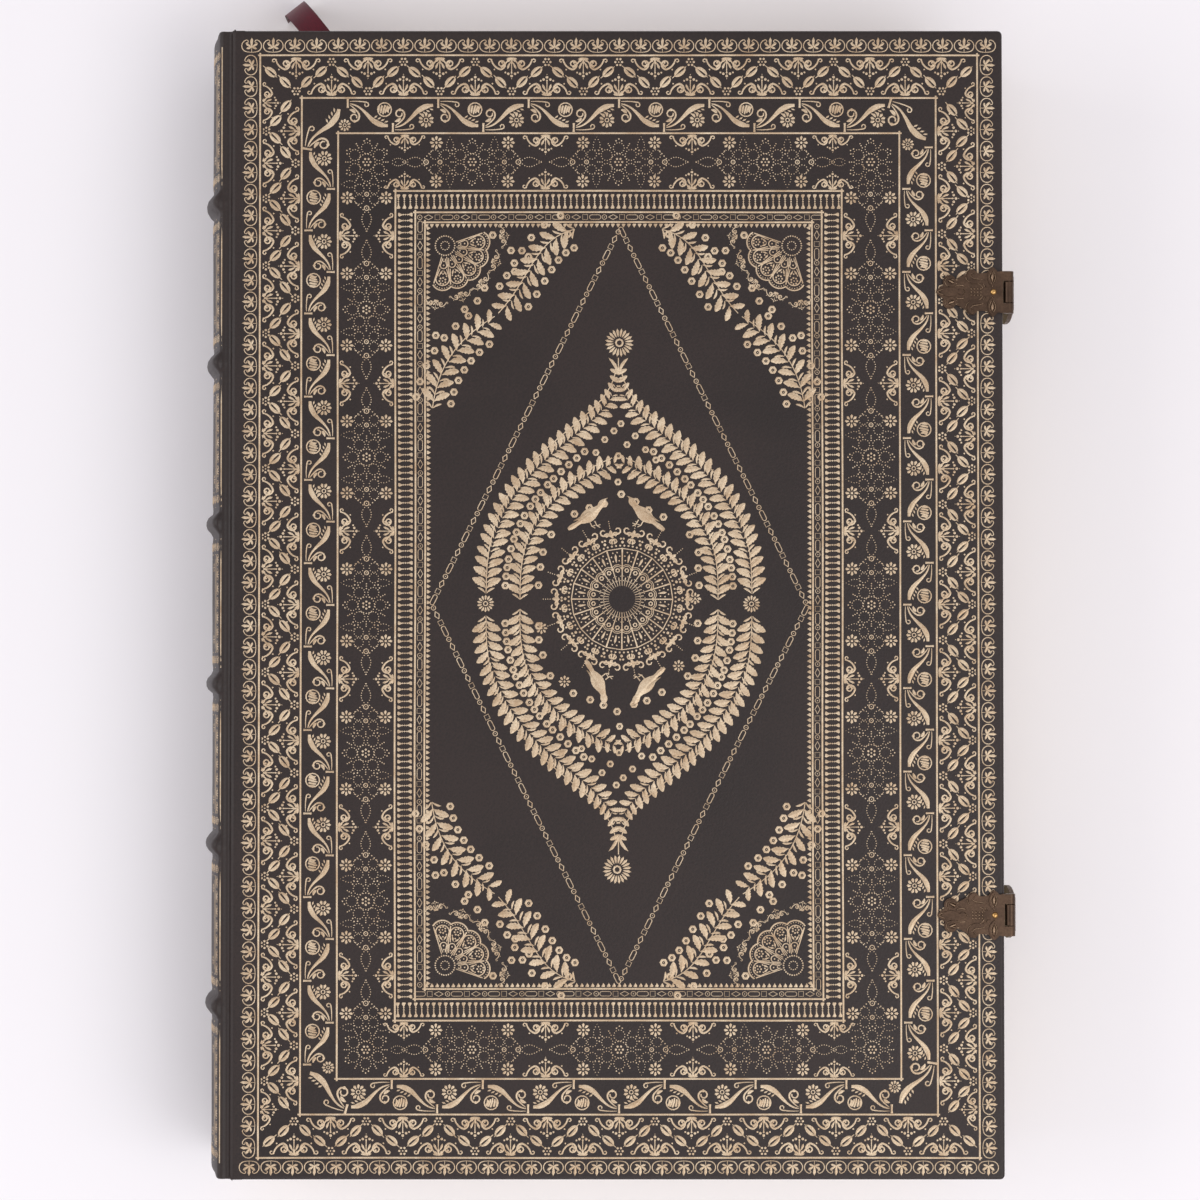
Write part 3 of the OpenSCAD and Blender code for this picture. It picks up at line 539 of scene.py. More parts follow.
@dataclass
class Tool:
    """A finishing tool: a small gold drawing that is struck many times."""

    mesh: bpy.types.Mesh

    @classmethod
    def cut(cls, draw: Callable[[BMesh], None]) -> "Tool":
        """Cuts a tool.

        Args:
            draw: function that draws it into a mesh.

        Returns:
            The tool.
        """
        bm = bmesh.new()
        draw(bm)
        bmesh.ops.recalc_face_normals(bm, faces=bm.faces)
        return cls(finish_mesh("tool", bm))

    def strike(self, bm: BMesh, x: float, y: float, turn: float = 0.0, flip: bool = False,
               size: float = 1.0) -> None:
        """Strikes the tool once.

        Args:
            bm: the mesh that takes the gold.
            x: place of the tool's middle.
            y: place of the tool's middle.
            turn: its turn to the left, in degrees.
            flip: True for its mirror image, left for right.
            size: its scale.
        """
        copy = self.mesh.copy()
        side = -size if flip else size
        copy.transform(placed(x, y, turn) @ Matrix.Diagonal((side, size, 1, 1)))
        if flip:
            copy.flip_normals()
        bm.from_mesh(copy)
        bpy.data.meshes.remove(copy)

    def strike_quarters(self, bm: BMesh) -> None:
        """Strikes the drawing of one quarter into all four."""
        for turn in (0, 180):
            for flip in (False, True):
                self.strike(bm, 0, 0, turn, flip)

    def roll(self, bm: BMesh, border: "Border", pitch: float, y: float = 0.0, size: float = 1.0) -> None:
        """Rolls the tool once round a border.

        Args:
            bm: the mesh that takes the gold.
            border: the border.
            pitch: wanted distance between two prints.
            y: place of the border's middle.
            size: scale of the tool.
        """
        for place in border.places(pitch):
            self.strike(bm, place.x, y + place.y, place.turn, size=size)


# Drawings of the rolls and tools, each with its base line or middle at the origin and +Y outwards. Their
# numbers are the points, turns, lengths and widths of one drawing.


def draw_vine_leaf(bm: BMesh) -> None:
    """A five-lobed leaf between two open scrolls, 8.4 mm wide.

    Args:
        bm: the mesh that takes it.
    """
    for side in SIDES:
        stroke(bm, 0, -2.9, 90 + side * 84, 0.3,
               Move(1.8, 0, taper(0.3, 0.4, 1)),
               Move(6.7, -side * 158, taper(0.5, 0.42, 7)),
               Move(2.3, -side * 240, taper(0.4, 0.4, 5), 0.3))
    stroke(bm, 0, -2.9, 90, 0.3, straight(1.6, 0.3))
    for angle, length, width in ((90, 4.0, 1.5), (34, 3.1, 1.25), (146, 3.1, 1.25), (-14, 2.3, 1.1),
                                 (194, 2.3, 1.1)):
        petal(bm, 0, -0.9, angle, length, width, 3)


def draw_arabesque(bm: BMesh) -> None:
    """Two pairs of volutes under a trefoil, standing on a line, 20 mm wide and 8 mm high.

    Args:
        bm: the mesh that takes it.
    """
    for side in SIDES:
        outwards = 90 - side * 90
        stroke(bm, side * 4.4, 4.9, outwards - side * 15, 1.0,
               Move(5.4, -side * 60, taper(1.0, 0.7, 4)),
               Move(3.4, side * 300, taper(0.65, 0.55, 6), 0.3))
        stroke(bm, side * 4.4, 4.9, 180 - outwards + side * 15, 1.0,
               Move(9.8, side * 440, taper(1.0, 0.6, 13), 0.6))
        stroke(bm, side * 1.2, 0.5, 90 - side * 22, 0.4, Move(4.8, -side * 40, taper(0.6, 0.8, 3)))
        dot(bm, side * 3.8, 2.1, 0.55, 6)
        dot(bm, side * 6.9, 4.9, 0.45)
        dot(bm, side * 8.1, 0.9, 0.45)
        dot(bm, side * 2.5, 6.1, 0.5, 6)
        petal(bm, side * 0.5, 2.0, 90 - side * 34, 3.1, 1.2, 3, side * 20)
        petal(bm, 0, 0.1, 90 - side * 44, 2.6, 1.15, 3)
        petal(bm, 0, 0.1, 90 - side * 74, 2.3, 0.95, 3)
        dot(bm, side * 1.35, 6.6, 0.7, 6)
    petal(bm, 0, 0.1, 90, 3.0, 1.2, 3)
    stroke(bm, 0, 2.8, 90, 0.4, straight(3.6, 0.5))
    dot(bm, 0, 7.5, 0.75, 6)
    dot(bm, 0, 6.2, 0.5)
    dot(bm, 0, 8.6, 0.25)


def draw_almond_leaf(bm: BMesh) -> None:
    """A pointed leaf with an open vein and a stalk, 5.6 mm long.

    Args:
        bm: the mesh that takes it.
    """
    for side in SIDES:
        stroke(bm, -2.6, side * 0.12, side * 33, 0.4,
               Move(5.8, -side * 62, (1.1, 1.5, 1.45, 1.5, 1.2, 0.8, POINT)), ridge=BOLD_RIDGE)
    stroke(bm, -3.9, 0, 0, 0.4, straight(1.5, 0.45))
    stroke(bm, 2.2, 0, 0, 0.5, Move(1.3, 0, taper(0.5, 0.25, 2)))


def draw_dot_flower(bm: BMesh) -> None:
    """Six dots round a seventh.

    Args:
        bm: the mesh that takes it.
    """
    dot(bm, 0, 0, 0.4, 6)
    for x, y in on_ring(0, 0, 1.35, 6):
        dot(bm, x, y, 0.62, 6)


def draw_horn(bm: BMesh) -> None:
    """A feathered horn that sweeps down to its collar, a volute and three tendrils, 17 mm long.

    The horn starts at the last collar, at the origin, and its mouth is at the next one, on the other side.

    Args:
        bm: the mesh that takes it.
    """
    stroke(bm, 0, 2.9, 90, 1.0, Move(3.4, 0, (0.8, 0.8, 1.0)), ridge=BOLD_RIDGE)
    stroke(bm, 0.8, 4.5, -8, 0.4,
           Move(5.0, -34, taper(0.5, 0.9, 4)),
           Move(4.6, -6, taper(1.0, 1.7, 3)),
           Move(4.2, 26, (2.0, 2.3, 2.4)),
           Move(3.4, 22, (2.1, 1.5, 1.3)), ridge=BOLD_RIDGE)
    stroke(bm, 0.8, 4.0, -32, 0.3,
           Move(4.2, -20, taper(0.4, 0.75, 3)),
           Move(11.0, -420, taper(0.85, 0.6, 13), 0.45))
    dot(bm, 2.6, -2.2, 0.75, 6)
    stroke(bm, 0.8, 5.4, 4, 0.3,
           Move(6.4, -14, taper(0.3, 0.6, 3)),
           Move(4.0, -300, taper(0.6, 0.5, 6), 0.2))
    stroke(bm, 6.0, 1.8, -60, 0.3,
           Move(5.8, 16, taper(0.5, 0.6, 3)),
           Move(3.8, 290, taper(0.6, 0.5, 6), 0.2))
    stroke(bm, 0.7, 2.2, -4, 0.4, Move(2.8, -50, (1.1, 1.5, 1.2, POINT)))
    for i in range(4):
        petal(bm, 10.0 + i * 1.3, -1.0 - i * 0.55, 40 - i * 6, 1.7, 0.8, 2)


def draw_fruit(bm: BMesh) -> None:
    """A round fruit, full on one side and hatched on the other.

    Args:
        bm: the mesh that takes it.
    """
    for i in range(5):
        stroke(bm, -2.3 + i * 0.85, -1.9 + abs(i - 2) * 0.45, 96 - i * 5, 0.6,
               Move(3.8 - abs(i - 2) * 0.7, -20, even(0.95, 3)))
    ring(bm, 0, 0, 2.75, 0.6, 14)
    stroke(bm, 1.5, -1.4, 82, 0.4, Move(3.0, 24, even(0.45, 3)))


def draw_rosette(bm: BMesh) -> None:
    """A rosette of dots: a flower in a ring, six dotted lobes and dotted points between them.

    Args:
        bm: the mesh that takes it.
    """
    dotted(bm, on_ring(0, 0, 1.4, 6), 0.6)
    dot(bm, 0, 0, 0.45)
    dotted(bm, on_ring(0, 0, 3.3, 18), 0.34)
    for angle in range(30, 390, 60):
        dotted(bm, on_ring(*polar(0, 0, 5.6, angle), 2.2, 13), 0.29)
        dotted(bm, [polar(0, 0, reach, angle + lean) for lean, reach in ((-7.5, 8.6), (0, 9.3), (7.5, 8.6))],
               0.4)
        dotted(bm, [polar(0, 0, reach, angle + 30) for reach in (6.6, 7.6, 8.5)], 0.34)


def leaf_outline(length: float, half: float, shares: tuple) -> list[tuple[float, float]]:
    """Points on both edges of a pointed leaf along +X, at some shares of its length."""
    return [(length * t, side * half * math.sin(math.pi * t ** 0.8)) for t in shares for side in SIDES]


LEAF_SHARES = (0.08, 0.2, 0.32, 0.44, 0.56, 0.68, 0.8, 0.92)


def draw_dotted_leaf(bm: BMesh) -> None:
    """A pointed leaf drawn in dots, 8 mm long from its base at the origin.

    Args:
        bm: the mesh that takes it.
    """
    dotted(bm, [*leaf_outline(8.0, 1.9, LEAF_SHARES), (8.3, 0), (2.2, 0)], 0.3)


def draw_rosette_wing(bm: BMesh) -> None:
    """What lies on one side of a rosette: ringed flowers, dotted circles and leaves, and two star flowers.

    Args:
        bm: the mesh that takes it.
    """
    for x, radius in ((12.9, 1.1), (18.5, 1.3)):
        ring(bm, x, 0, radius * 0.75, 0.45, 8)
        dot(bm, x, 0, 0.3)
    for lift in SIDES:
        for x in (10.8, 15.0):
            dotted(bm, on_ring(x, lift * 3.0, 1.9, 11), 0.28)
        dotted(bm, [(16.4 + 0.9 * k, lift * (4.4 - 1.0 * k)) for k in range(4)], 0.36)
        upright = leaf_outline(5.9, 1.4, (0.1, 0.28, 0.46, 0.64, 0.82, 1.0))
        dotted(bm, [(8.9 + across, lift * (4.2 + along)) for along, across in upright], 0.26)
        star_flower(bm, 14.4, lift * 7.8, 2.7)
    dotted(bm, [(19.5 + x, y) for x, y in leaf_outline(8.0, 1.9, (*LEAF_SHARES, 1.03))], 0.3)


def draw_baluster(bm: BMesh) -> None:
    """A beaded shaft between a heart-shaped cap and a triangular foot, 5.6 mm high.

    Args:
        bm: the mesh that takes it.
    """
    for y, width, thick, thin in ((2.9, 1.3, 0.3, 1.5), (-2.9, 1.5, 0.4, 1.4)):
        stroke(bm, 0, y, -math.copysign(90, y), width, straight(thick, 1.9), straight(thin, 0.4))
    stroke(bm, 0, 1.4, -90, 0.3, straight(2.8, 0.3))
    for y in (-0.9, 0, 0.9):
        dot(bm, 0, y, 0.46, 4)


def draw_chain_links(bm: BMesh, width: float = 0.3) -> None:
    """One run of the chain: a ring, a lozenge, a square and a long link, 14.9 mm.

    Args:
        bm: the mesh that takes it.
        width: width of its lines.
    """
    ring(bm, -5.6, 0, 0.95, width, 10)
    dot(bm, -5.6, 0, 0.3)
    for lean in SIDES:
        stroke(bm, -3.9, 0, lean * 29, width, straight(2.05, width),
               Move(0.001, -lean * 58, even(width, 1)), straight(2.05, width))
    ring(bm, 1.5, 0, 1.4, width, 4, start=45)
    for side in SIDES:
        for ahead in SIDES:
            stroke(bm, 5.5, side * 0.9, 90 - ahead * 90, width, straight(1.4, width),
                   Move(1.41, -side * ahead * 90, even(width, 3)))


def draw_tooth(bm: BMesh) -> None:
    """A small pointed tooth that hangs from a line.

    Args:
        bm: the mesh that takes it.
    """
    stroke(bm, 0, -0.3, -90, 1.5, straight(0.3, 1.8), straight(1.3, 0.15))


def draw_spray_leaf(bm: BMesh) -> None:
    """A lobed leaf with a wavy edge, 7 mm long from its base at the origin.

    Args:
        bm: the mesh that takes it.
    """
    stroke(bm, 0.2, 0, -16, 0.4,
           Move(7.0, 34, (0.7, 1.5, 2.5, 2.2, 3.2, 2.6, 3.2, 2.4, 1.7, 0.5)), ridge=0.16)


def draw_small_leaf(bm: BMesh) -> None:
    """A narrow leaf, 4 mm long from its base at the origin.

    Args:
        bm: the mesh that takes it.
    """
    stroke(bm, 0.2, 0, -20, 0.3, Move(4.2, 44, (0.6, 0.95, 1.1, 0.8, POINT)))


def draw_bird(bm: BMesh) -> None:
    """A plain small bird that stands and looks to +X, 21 mm long.

    Args:
        bm: the mesh that takes it.
    """
    stroke(bm, -10.2, -4.4, 22, 1.2,
           Move(5.4, 4, (2.0, 2.2, 1.8, 1.9)),
           Move(8.6, 4, (3.6, 4.9, 5.5, 5.3, 4.3, 3.0)),
           Move(1.6, 14, (2.3,)),
           Move(2.8, 6, (2.9, 3.0, 2.1)),
           Move(2.2, -46, (0.9, 0.5, POINT)), ridge=0.3)
    stroke(bm, -7.6, -1.4, 12, 0.3, Move(7.2, 18, (0.8, 1.3, 1.7, 1.4)), ridge=0.5)
    for step in (0, 2.0):
        stroke(bm, -1.2 + step, -2.6, -72, 0.6, straight(2.2, 0.5, 2))
        for toe in (-35, 10):
            stroke(bm, -0.6 + step, -4.6, toe, 0.4, straight(1.5, 0.45))


@dataclass(frozen=True)
class Place:
    """Where a tool is struck on a border: its middle, its turn, and where it is on its side of the border."""

    x: float
    y: float
    turn: float
    along: float = 0.0
    step: float = 0.0
    limit: float = 0.0

    def at(self, x: float, y: float) -> tuple[float, float]:
        """A point given from this place, with +Y outwards.

        Args:
            x: distance along the border.
            y: distance outwards.

        Returns:
            The point on the cover.
        """
        a = math.radians(self.turn)
        return self.x + x * math.cos(a) - y * math.sin(a), self.y + x * math.sin(a) + y * math.cos(a)


@dataclass
class Border:
    """A band that runs round the cover: half sizes of its middle line, and its width."""

    half_w: float
    half_h: float
    width: float

    def places(self, pitch: float) -> list[Place]:
        """Even places round the border; the rows run through the corners and the columns between them.

        Args:
            pitch: wanted distance between two places.

        Returns:
            The places, with +Y of a tool outwards.
        """
        found = []
        for turn, (length, away) in around((self.half_w + self.width / 2, self.half_h),
                                           (self.half_h - self.width / 2, self.half_w)):
            count = max(1, round(2 * length / pitch))
            step = 2 * length / count
            for i in range(count):
                along = -length + (i + 0.5) * step
                found.append(Place(*Place(0, 0, turn).at(along, away), turn, along, step, length))
        return found


@dataclass
class CoverGilding:
    """The gold on the front cover: six lines, the rolls between them and the panel inside."""

    top_z: float
    middle: tuple = (0.5, -0.6)  # of the tooling, a little off the book's own
    lines: tuple = (  # half width and half height of each line's rectangle
        (143.9, 220.6), (127.2, 203.4), (112.6, 189.2), (89.5, 166.0), (81.5, 157.4), (77.6, 153.4))
    line_w: float = 0.85
    line_past: float = 0.9  # how far a line runs past its corner
    line_steps: int = 24
    clear: float = 0.3  # between a line and what a roll prints beside it
    sink: float = 0.02
    waver: float = 0.22
    vine_off: float = 4.1  # of the vine roll's middle from the first line
    vine_w: float = 7.4
    vine_pitch: float = 8.65
    garland_pitch: float = 27.9
    garland_foot: float = 0.6  # of an arabesque inside the line
    garland_corner: float = 10.6  # of an arabesque from its corner
    garland_corner_size: float = 0.86
    horn_pair: float = 34.4  # length of two horns as they are drawn
    fruit_at: tuple = (-3.4, 2.4)
    daisy_at: tuple = (12.6, -1.8)
    corner_horn_at: tuple = (-1.5, -0.2)
    corner_horn_size: float = 1.17
    corner_daisy_at: tuple = (-1.2, -3.9)
    corner_daisy_size: float = 0.8
    bay_off: float = 11.1  # of a bay's arabesques from the rosettes' line
    bay_size: float = 0.94
    end_bay: float = 15.2  # of a row's last bay from the corner
    end_bay_size: float = 0.84
    end_leaf: float = 9.8
    end_leaf_size: float = 0.8
    baluster_pitch: float = 2.4
    chain_pitch: float = 14.7
    tooth_off: float = 0.4
    tooth_w: float = 1.6
    tooth_pitch: float = 2.15

    def band(self, outer: int) -> Border:
        """The border between a line and the next one inside it."""
        (ow, oh), (iw, ih) = self.lines[outer], self.lines[outer + 1]
        return Border((ow + iw) / 2, (oh + ih) / 2, ow - iw)

    def lay(self, name: str, bm: BMesh, replaced: str) -> bpy.types.Object:
        """Lays finished gold on the cover as one piece, a little uneven as hand work is.

        Args:
            name: the piece's name.
            bm: the drawing on z = 0, about the tooling's middle.
            replaced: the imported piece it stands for.

        Returns:
            The piece.
        """
        bmesh.ops.translate(bm, vec=(*self.middle, self.top_z - self.sink), verts=bm.verts)
        for v in bm.verts:
            x, y = v.co.x, v.co.y
            v.co.x += self.waver * math.sin(y / 31 + 0.6) * math.cos(x / 90)
            v.co.y += self.waver * math.sin(x / 27 + 1.9) * math.cos(y / 120)
        piece = make_piece(name, bm, (GOLD_LEAF,), crisp=True)
        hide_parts(replaced)
        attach(piece, "front_cover")
        return piece

    def rule_lines(self) -> None:
        """Rules the six lines; each side is its own stroke and runs a little past the corner."""
        bm = bmesh.new()
        for w, h in self.lines:
            rule_frame(bm, 0, (w, h, self.line_steps), (h, w, self.line_steps), self.line_w, self.line_past)
        bmesh.ops.recalc_face_normals(bm, faces=bm.faces)
        self.lay("gilt_fillet_lines", bm, "front_gilt_lines")

    def roll_leaf_border(self) -> None:
        """Rolls the vine leaves outside the first line."""
        bm = bmesh.new()
        half_w, half_h = self.lines[0]
        border = Border(half_w + self.vine_off, half_h + self.vine_off, self.vine_w)
        Tool.cut(draw_vine_leaf).roll(bm, border, self.vine_pitch)
        self.lay("gilt_vine_border", bm, "front_gilt_borders")

    def roll_garland(self) -> None:
        """Rolls the zigzag garland of leaves with an arabesque in each of its bays."""
        arabesque, leaf, flower = (Tool.cut(d) for d in (draw_arabesque, draw_almond_leaf, draw_dot_flower))
        bm = bmesh.new()
        border = self.band(0)
        rise = border.width / 2 - self.garland_foot
        # each tool with its place from the start of a repeat, its turn and the half length that it takes up
        motif = ((arabesque, 0, -rise, 0, 9), (arabesque, 14.2, rise, 180, 9), (flower, 0, 5.9, 0, 2),
                 (flower, 14.2, -5.9, 0, 2), (leaf, 4.1, 2.2, -46, 3), (leaf, 9.9, -1.9, -40, 3),
                 (leaf, 18.5, -1.9, 40, 3), (leaf, 24.3, 2.2, 46, 3))
        for place in border.places(self.garland_pitch):
            mirrored = place.turn % 180 == 0
            first = place.along - place.step < -place.limit
            for back in (0, place.step) if first else (0,):
                for tool, x, y, lean, half in motif:
                    if abs(place.along + x - back) + half > place.limit:
                        continue
                    if mirrored:
                        tool.strike(bm, *place.at(x - back, -y), place.turn + 180 - lean, flip=True)
                    else:
                        tool.strike(bm, *place.at(x - back, y), place.turn + lean)
        for x in SIDES:
            for y in SIDES:
                arabesque.strike(bm, x * (border.half_w + rise), y * (border.half_h - self.garland_corner),
                                 180 - x * 90, size=self.garland_corner_size)
        # what the roll prints past the line round it is taken off
        w, h = (half - self.line_w / 2 - self.clear for half in self.lines[0])
        past = [v for v in bm.verts if abs(v.co.x) > w or abs(v.co.y) > h]
        bmesh.ops.delete(bm, geom=past, context="VERTS")
        self.lay("gilt_garland_border", bm, "front_gilt_borders")

    def roll_scrolls(self) -> None:
        """Rolls the horns, in turn with a daisy below and a fruit above."""
        horn, fruit = Tool.cut(draw_horn), Tool.cut(draw_fruit)
        bloom = Tool.cut(lambda bm: daisy(bm, 0, 0, 3.2, 10))
        bm = bmesh.new()
        border = self.band(1)
        # reach along the side, distance from the middle, horns on the outer line, and the corner horn's lean
        for turn, (reach, away, count, lean) in around((border.half_w - 11.1, border.half_h, 7, -15.8),
                                                       (border.half_h - 12.8, border.half_w, 12, -9.4)):
            middle = Place(0, 0, turn)
            step = 2 * reach / (count - 1)
            size = step / self.horn_pair
            for i in range(count - 1):
                x = -reach + i * step
                half = x + step / 2
                horn.strike(bm, *middle.at(x, away), turn, size=size)
                fruit.strike(bm, *middle.at(half + self.fruit_at[0], away + self.fruit_at[1]), turn)
                horn.strike(bm, *middle.at(half, away), turn + 180, flip=True, size=size)
                bloom.strike(bm, *middle.at(half + self.daisy_at[0] * size, away + self.daisy_at[1]), turn)
            x, y = self.corner_horn_at
            horn.strike(bm, *middle.at(reach + x, away + y), turn + lean, size=self.corner_horn_size)
            x, y = self.corner_daisy_at
            bloom.strike(bm, *middle.at(-reach + x, away + y), turn, size=self.corner_daisy_size)
        self.lay("gilt_scroll_border", bm, "front_gilt_borders")

    def roll_rosettes(self) -> None:
        """Rolls the dotted rosettes, with arabesques and star flowers on both sides."""
        rosette, wing, leaf, arabesque = (
            Tool.cut(d) for d in (draw_rosette, draw_rosette_wing, draw_dotted_leaf, draw_arabesque))
        bm = bmesh.new()
        border = self.band(2)
        # place of the corner, distance from the middle, and the last rosette's place and their number
        for turn, (corner, away, reach, count) in around((border.half_w, border.half_h, 58.8, 3),
                                                         (border.half_h, border.half_w, 118.4, 5)):
            middle = Place(0, 0, turn)
            middles = [-reach + 2 * reach * i / (count - 1) for i in range(count)]
            for x in middles:
                rosette.strike(bm, *middle.at(x, away), turn)
                for side in (0, 180):
                    wing.strike(bm, *middle.at(x, away), turn + side)
            bays = [((a + b) / 2, self.bay_size) for a, b in zip(middles, middles[1:])]
            for end in SIDES:
                lean = turn + 90 + end * 90
                if turn % 180 == 0:
                    bays.append((end * (corner - self.end_bay), self.end_bay_size))
                    leaf.strike(bm, *middle.at(end * (corner - self.end_leaf), away), lean,
                                size=self.end_leaf_size)
                else:
                    bays.append((end * (corner + reach) / 2, self.bay_size))
                    wing.strike(bm, *middle.at(end * corner, away), lean)
            for x, size in bays:
                for lift in SIDES:
                    arabesque.strike(bm, *middle.at(x, away + lift * self.bay_off), turn + 90 + lift * 90,
                                     size=size)
        for x in (-border.half_w, border.half_w):
            for y in (-border.half_h, border.half_h):
                rosette.strike(bm, x, y)
        self.lay("gilt_rosette_border", bm, "front_gilt_borders")

    def roll_narrow_borders(self) -> None:
        """Rolls the balusters, the chain and the teeth along the three inner lines."""
        bm = bmesh.new()
        half_w, half_h = self.lines[5]
        Tool.cut(draw_baluster).roll(bm, self.band(3), self.baluster_pitch)
        Tool.cut(draw_chain_links).roll(bm, self.band(4), self.chain_pitch)
        teeth = Border(half_w - self.tooth_off, half_h - self.tooth_off, self.tooth_w)
        Tool.cut(draw_tooth).roll(bm, teeth, self.tooth_pitch)
        self.lay("gilt_narrow_borders", bm, "front_gilt_borders")

    def build(self) -> None:
        """Tools the whole cover."""
        self.rule_lines()
        self.roll_leaf_border()
        self.roll_garland()
        self.roll_scrolls()
        self.roll_rosettes()
        self.roll_narrow_borders()
        CoverPanel(self).build()


@dataclass
class CoverPanel:
    """The middle panel: corner fans and sprays, the lozenge chain, and the pointed oval round a wheel."""

    gilding: CoverGilding
    fan_eye: tuple = (69.5, 144.0)
    fan_petals: int = 5
    fan_step: float = 25.0  # degrees from one petal to the next
    wheel_at: tuple = (1.2, 2.0)
    wheel_cells: int = 20
    wheel_rays: int = 18
    corner_pitch: float = 5.6  # between the leaves of a corner's sprays
    oval_pitch: float = 4.1
    stem_w: float = 0.45
    links_mm: float = 14.2  # wanted length of one run of the lozenge's chain

    def spray(self, bm: BMesh, knots: tuple, pitch: float, flowers: tuple = (), leaf_size: float = 1.0,
              narrowing: float = 6.0) -> None:
        """Sets leaves along both sides of a curved stem, with ring flowers beyond them.

        Args:
            bm: the drawing.
            knots: start, two handles and end of the stem, which grows from start to end.
            pitch: distance between two pairs of leaves.
            flowers: offsets of the rows of ring flowers, positive to the left of the stem.
            leaf_size: scale of the leaves.
            narrowing: length at the stem's end over which the leaves get smaller.
        """
        big, small = Tool.cut(draw_spray_leaf), Tool.cut(draw_small_leaf)
        line = interpolate_bezier(*[Vector((*k, 0)) for k in knots], 120)
        steps = [b - a for a, b in zip(line, line[1:])]
        angles = [math.degrees(math.atan2(s.y, s.x)) for s in steps]
        total = sum(s.length for s in steps)
        walked, due = 0.0, pitch / 2
        bloom_due = [due] * len(flowers)
        for last, here, step, angle in zip(line, line[1:], steps, angles):
            walked += step.length
            if walked >= due:
                size = leaf_size * (0.55 + 0.45 * smooth((total - walked) / narrowing))
                back = last - step.normalized() * pitch * 0.5
                for lean, flip in ((angle + 54, False), (angle + 126, True)):
                    big.strike(bm, last.x, last.y, lean, flip, size)
                    small.strike(bm, back.x, back.y, lean, flip, size)
                due += pitch * (0.6 + 0.4 * size / leaf_size)
            for k, offset in enumerate(flowers):
                if walked >= bloom_due[k] and total - walked > narrowing:
                    normal = Vector((-step.y, step.x)).normalized() * offset
                    ring_flower(bm, here.x + normal.x, here.y + normal.y)
                    bloom_due[k] += pitch * 1.02
        skip = 4  # the stem is drawn with one move for four steps
        coarse = angles[::skip]
        stem = [Move(step.length * skip, (angle - before + 180) % 360 - 180, even(self.stem_w, 1))
                for step, angle, before in zip(steps[::skip], coarse, [angles[0], *coarse])]
        stroke(bm, line[0].x, line[0].y, angles[0], self.stem_w, *stem)

    def fan(self, bm: BMesh) -> None:
        """Draws the fan of the upper right corner: its eye, its petals and the small scrolls round them.

        Args:
            bm: the mesh that takes it.
        """
        dotted(bm, on_ring(*self.fan_eye, 3.9, 26), 0.42)
        dotted(bm, on_ring(*self.fan_eye, 1.7, 12), 0.34)
        for i in range(self.fan_petals + 1):
            angle = 161.5 + self.fan_step * i
            stroke(bm, *polar(*self.fan_eye, 4.6, angle), angle, 0.4, straight(11.2, 0.6))
        for i in range(self.fan_petals):
            angle = 174 + self.fan_step * i
            at = Place(*self.fan_eye, angle).at
            for middle, radius, half, width in (
                    (13.6, 4.4, 57, 0.7), (13.3, 2.75, 96, 0.55), (7.9, 1.35, 96, 0.5)):
                stroke(bm, *polar(*at(middle, 0), radius, angle - half), angle + 90 - half, width,
                       Move(2 * radius * math.radians(half), 2 * half, even(width, 8)))
            for side in SIDES:
                for foot, mouth, half in ((9.4, 13.3, (1.35, 2.7)), (5.2, 7.9, (0.45, 1.3))):
                    lean = math.degrees(math.atan2(half[1] - half[0], mouth - foot))
                    stroke(bm, *at(foot, side * half[0]), angle + side * lean, 0.45,
                           straight(math.hypot(mouth - foot, half[1] - half[0]), 0.5))
            dotted(bm, [polar(*at(13.6, 0), 3.6, angle - 66 + 16.5 * k) for k in range(9)], 0.3)
            dotted(bm, on_ring(*at(14.2, 0), 1.25, 7), 0.52)
            dot(bm, *at(14.2, 0), 0.4)
            dotted(bm, [at(7.9, 0), at(6.3, 0)], 0.42)
            for side in SIDES:
                petal(bm, *at(10.0, side * 0.2), angle + side * 34, 2.5, 0.9, 2)
                dot(bm, *at(12.2, side * 1.5), 0.4)
            dot(bm, *at(11.4, 0), 0.45)
        arabesque = Tool.cut(draw_arabesque)
        for i, reach in enumerate((22.0, 19.6, 19.6, 19.6, 22.0)):
            angle = 171 + 27.0 * i
            arabesque.strike(bm, *polar(*self.fan_eye, reach, angle), angle - 90, size=0.5)

    def corner(self, bm: BMesh) -> None:
        """Draws the corner piece of the upper right, with its fan, two leaf sprays and ring flowers.

        Args:
            bm: the mesh that takes it.
        """
        self.fan(bm)
        self.spray(bm, ((74.6, 79.0), (71.5, 99.0), (60.5, 107.5), (49.0, 114.5)), self.corner_pitch,
                   (-7.2, 7.0))
        self.spray(bm, ((17.5, 150.5), (33.0, 146.0), (33.5, 131.0), (47.5, 116.5)), self.corner_pitch,
                   (7.2, -7.0))
        for x, y in ((20.2, 148.6), (36.0, 139.5), (41.5, 133.5), (50.4, 148.2), (56.5, 121.8), (61.6, 118.4),
                     (73.2, 108.0), (43.0, 142.0), (53.6, 127.0)):
            ring_flower(bm, x, y)

    def corners(self) -> None:
        """Sets the four corner pieces."""
        bm = bmesh.new()
        Tool.cut(self.corner).strike_quarters(bm)
        self.gilding.lay("gilt_corner_pieces", bm, "front_gilt_panel")

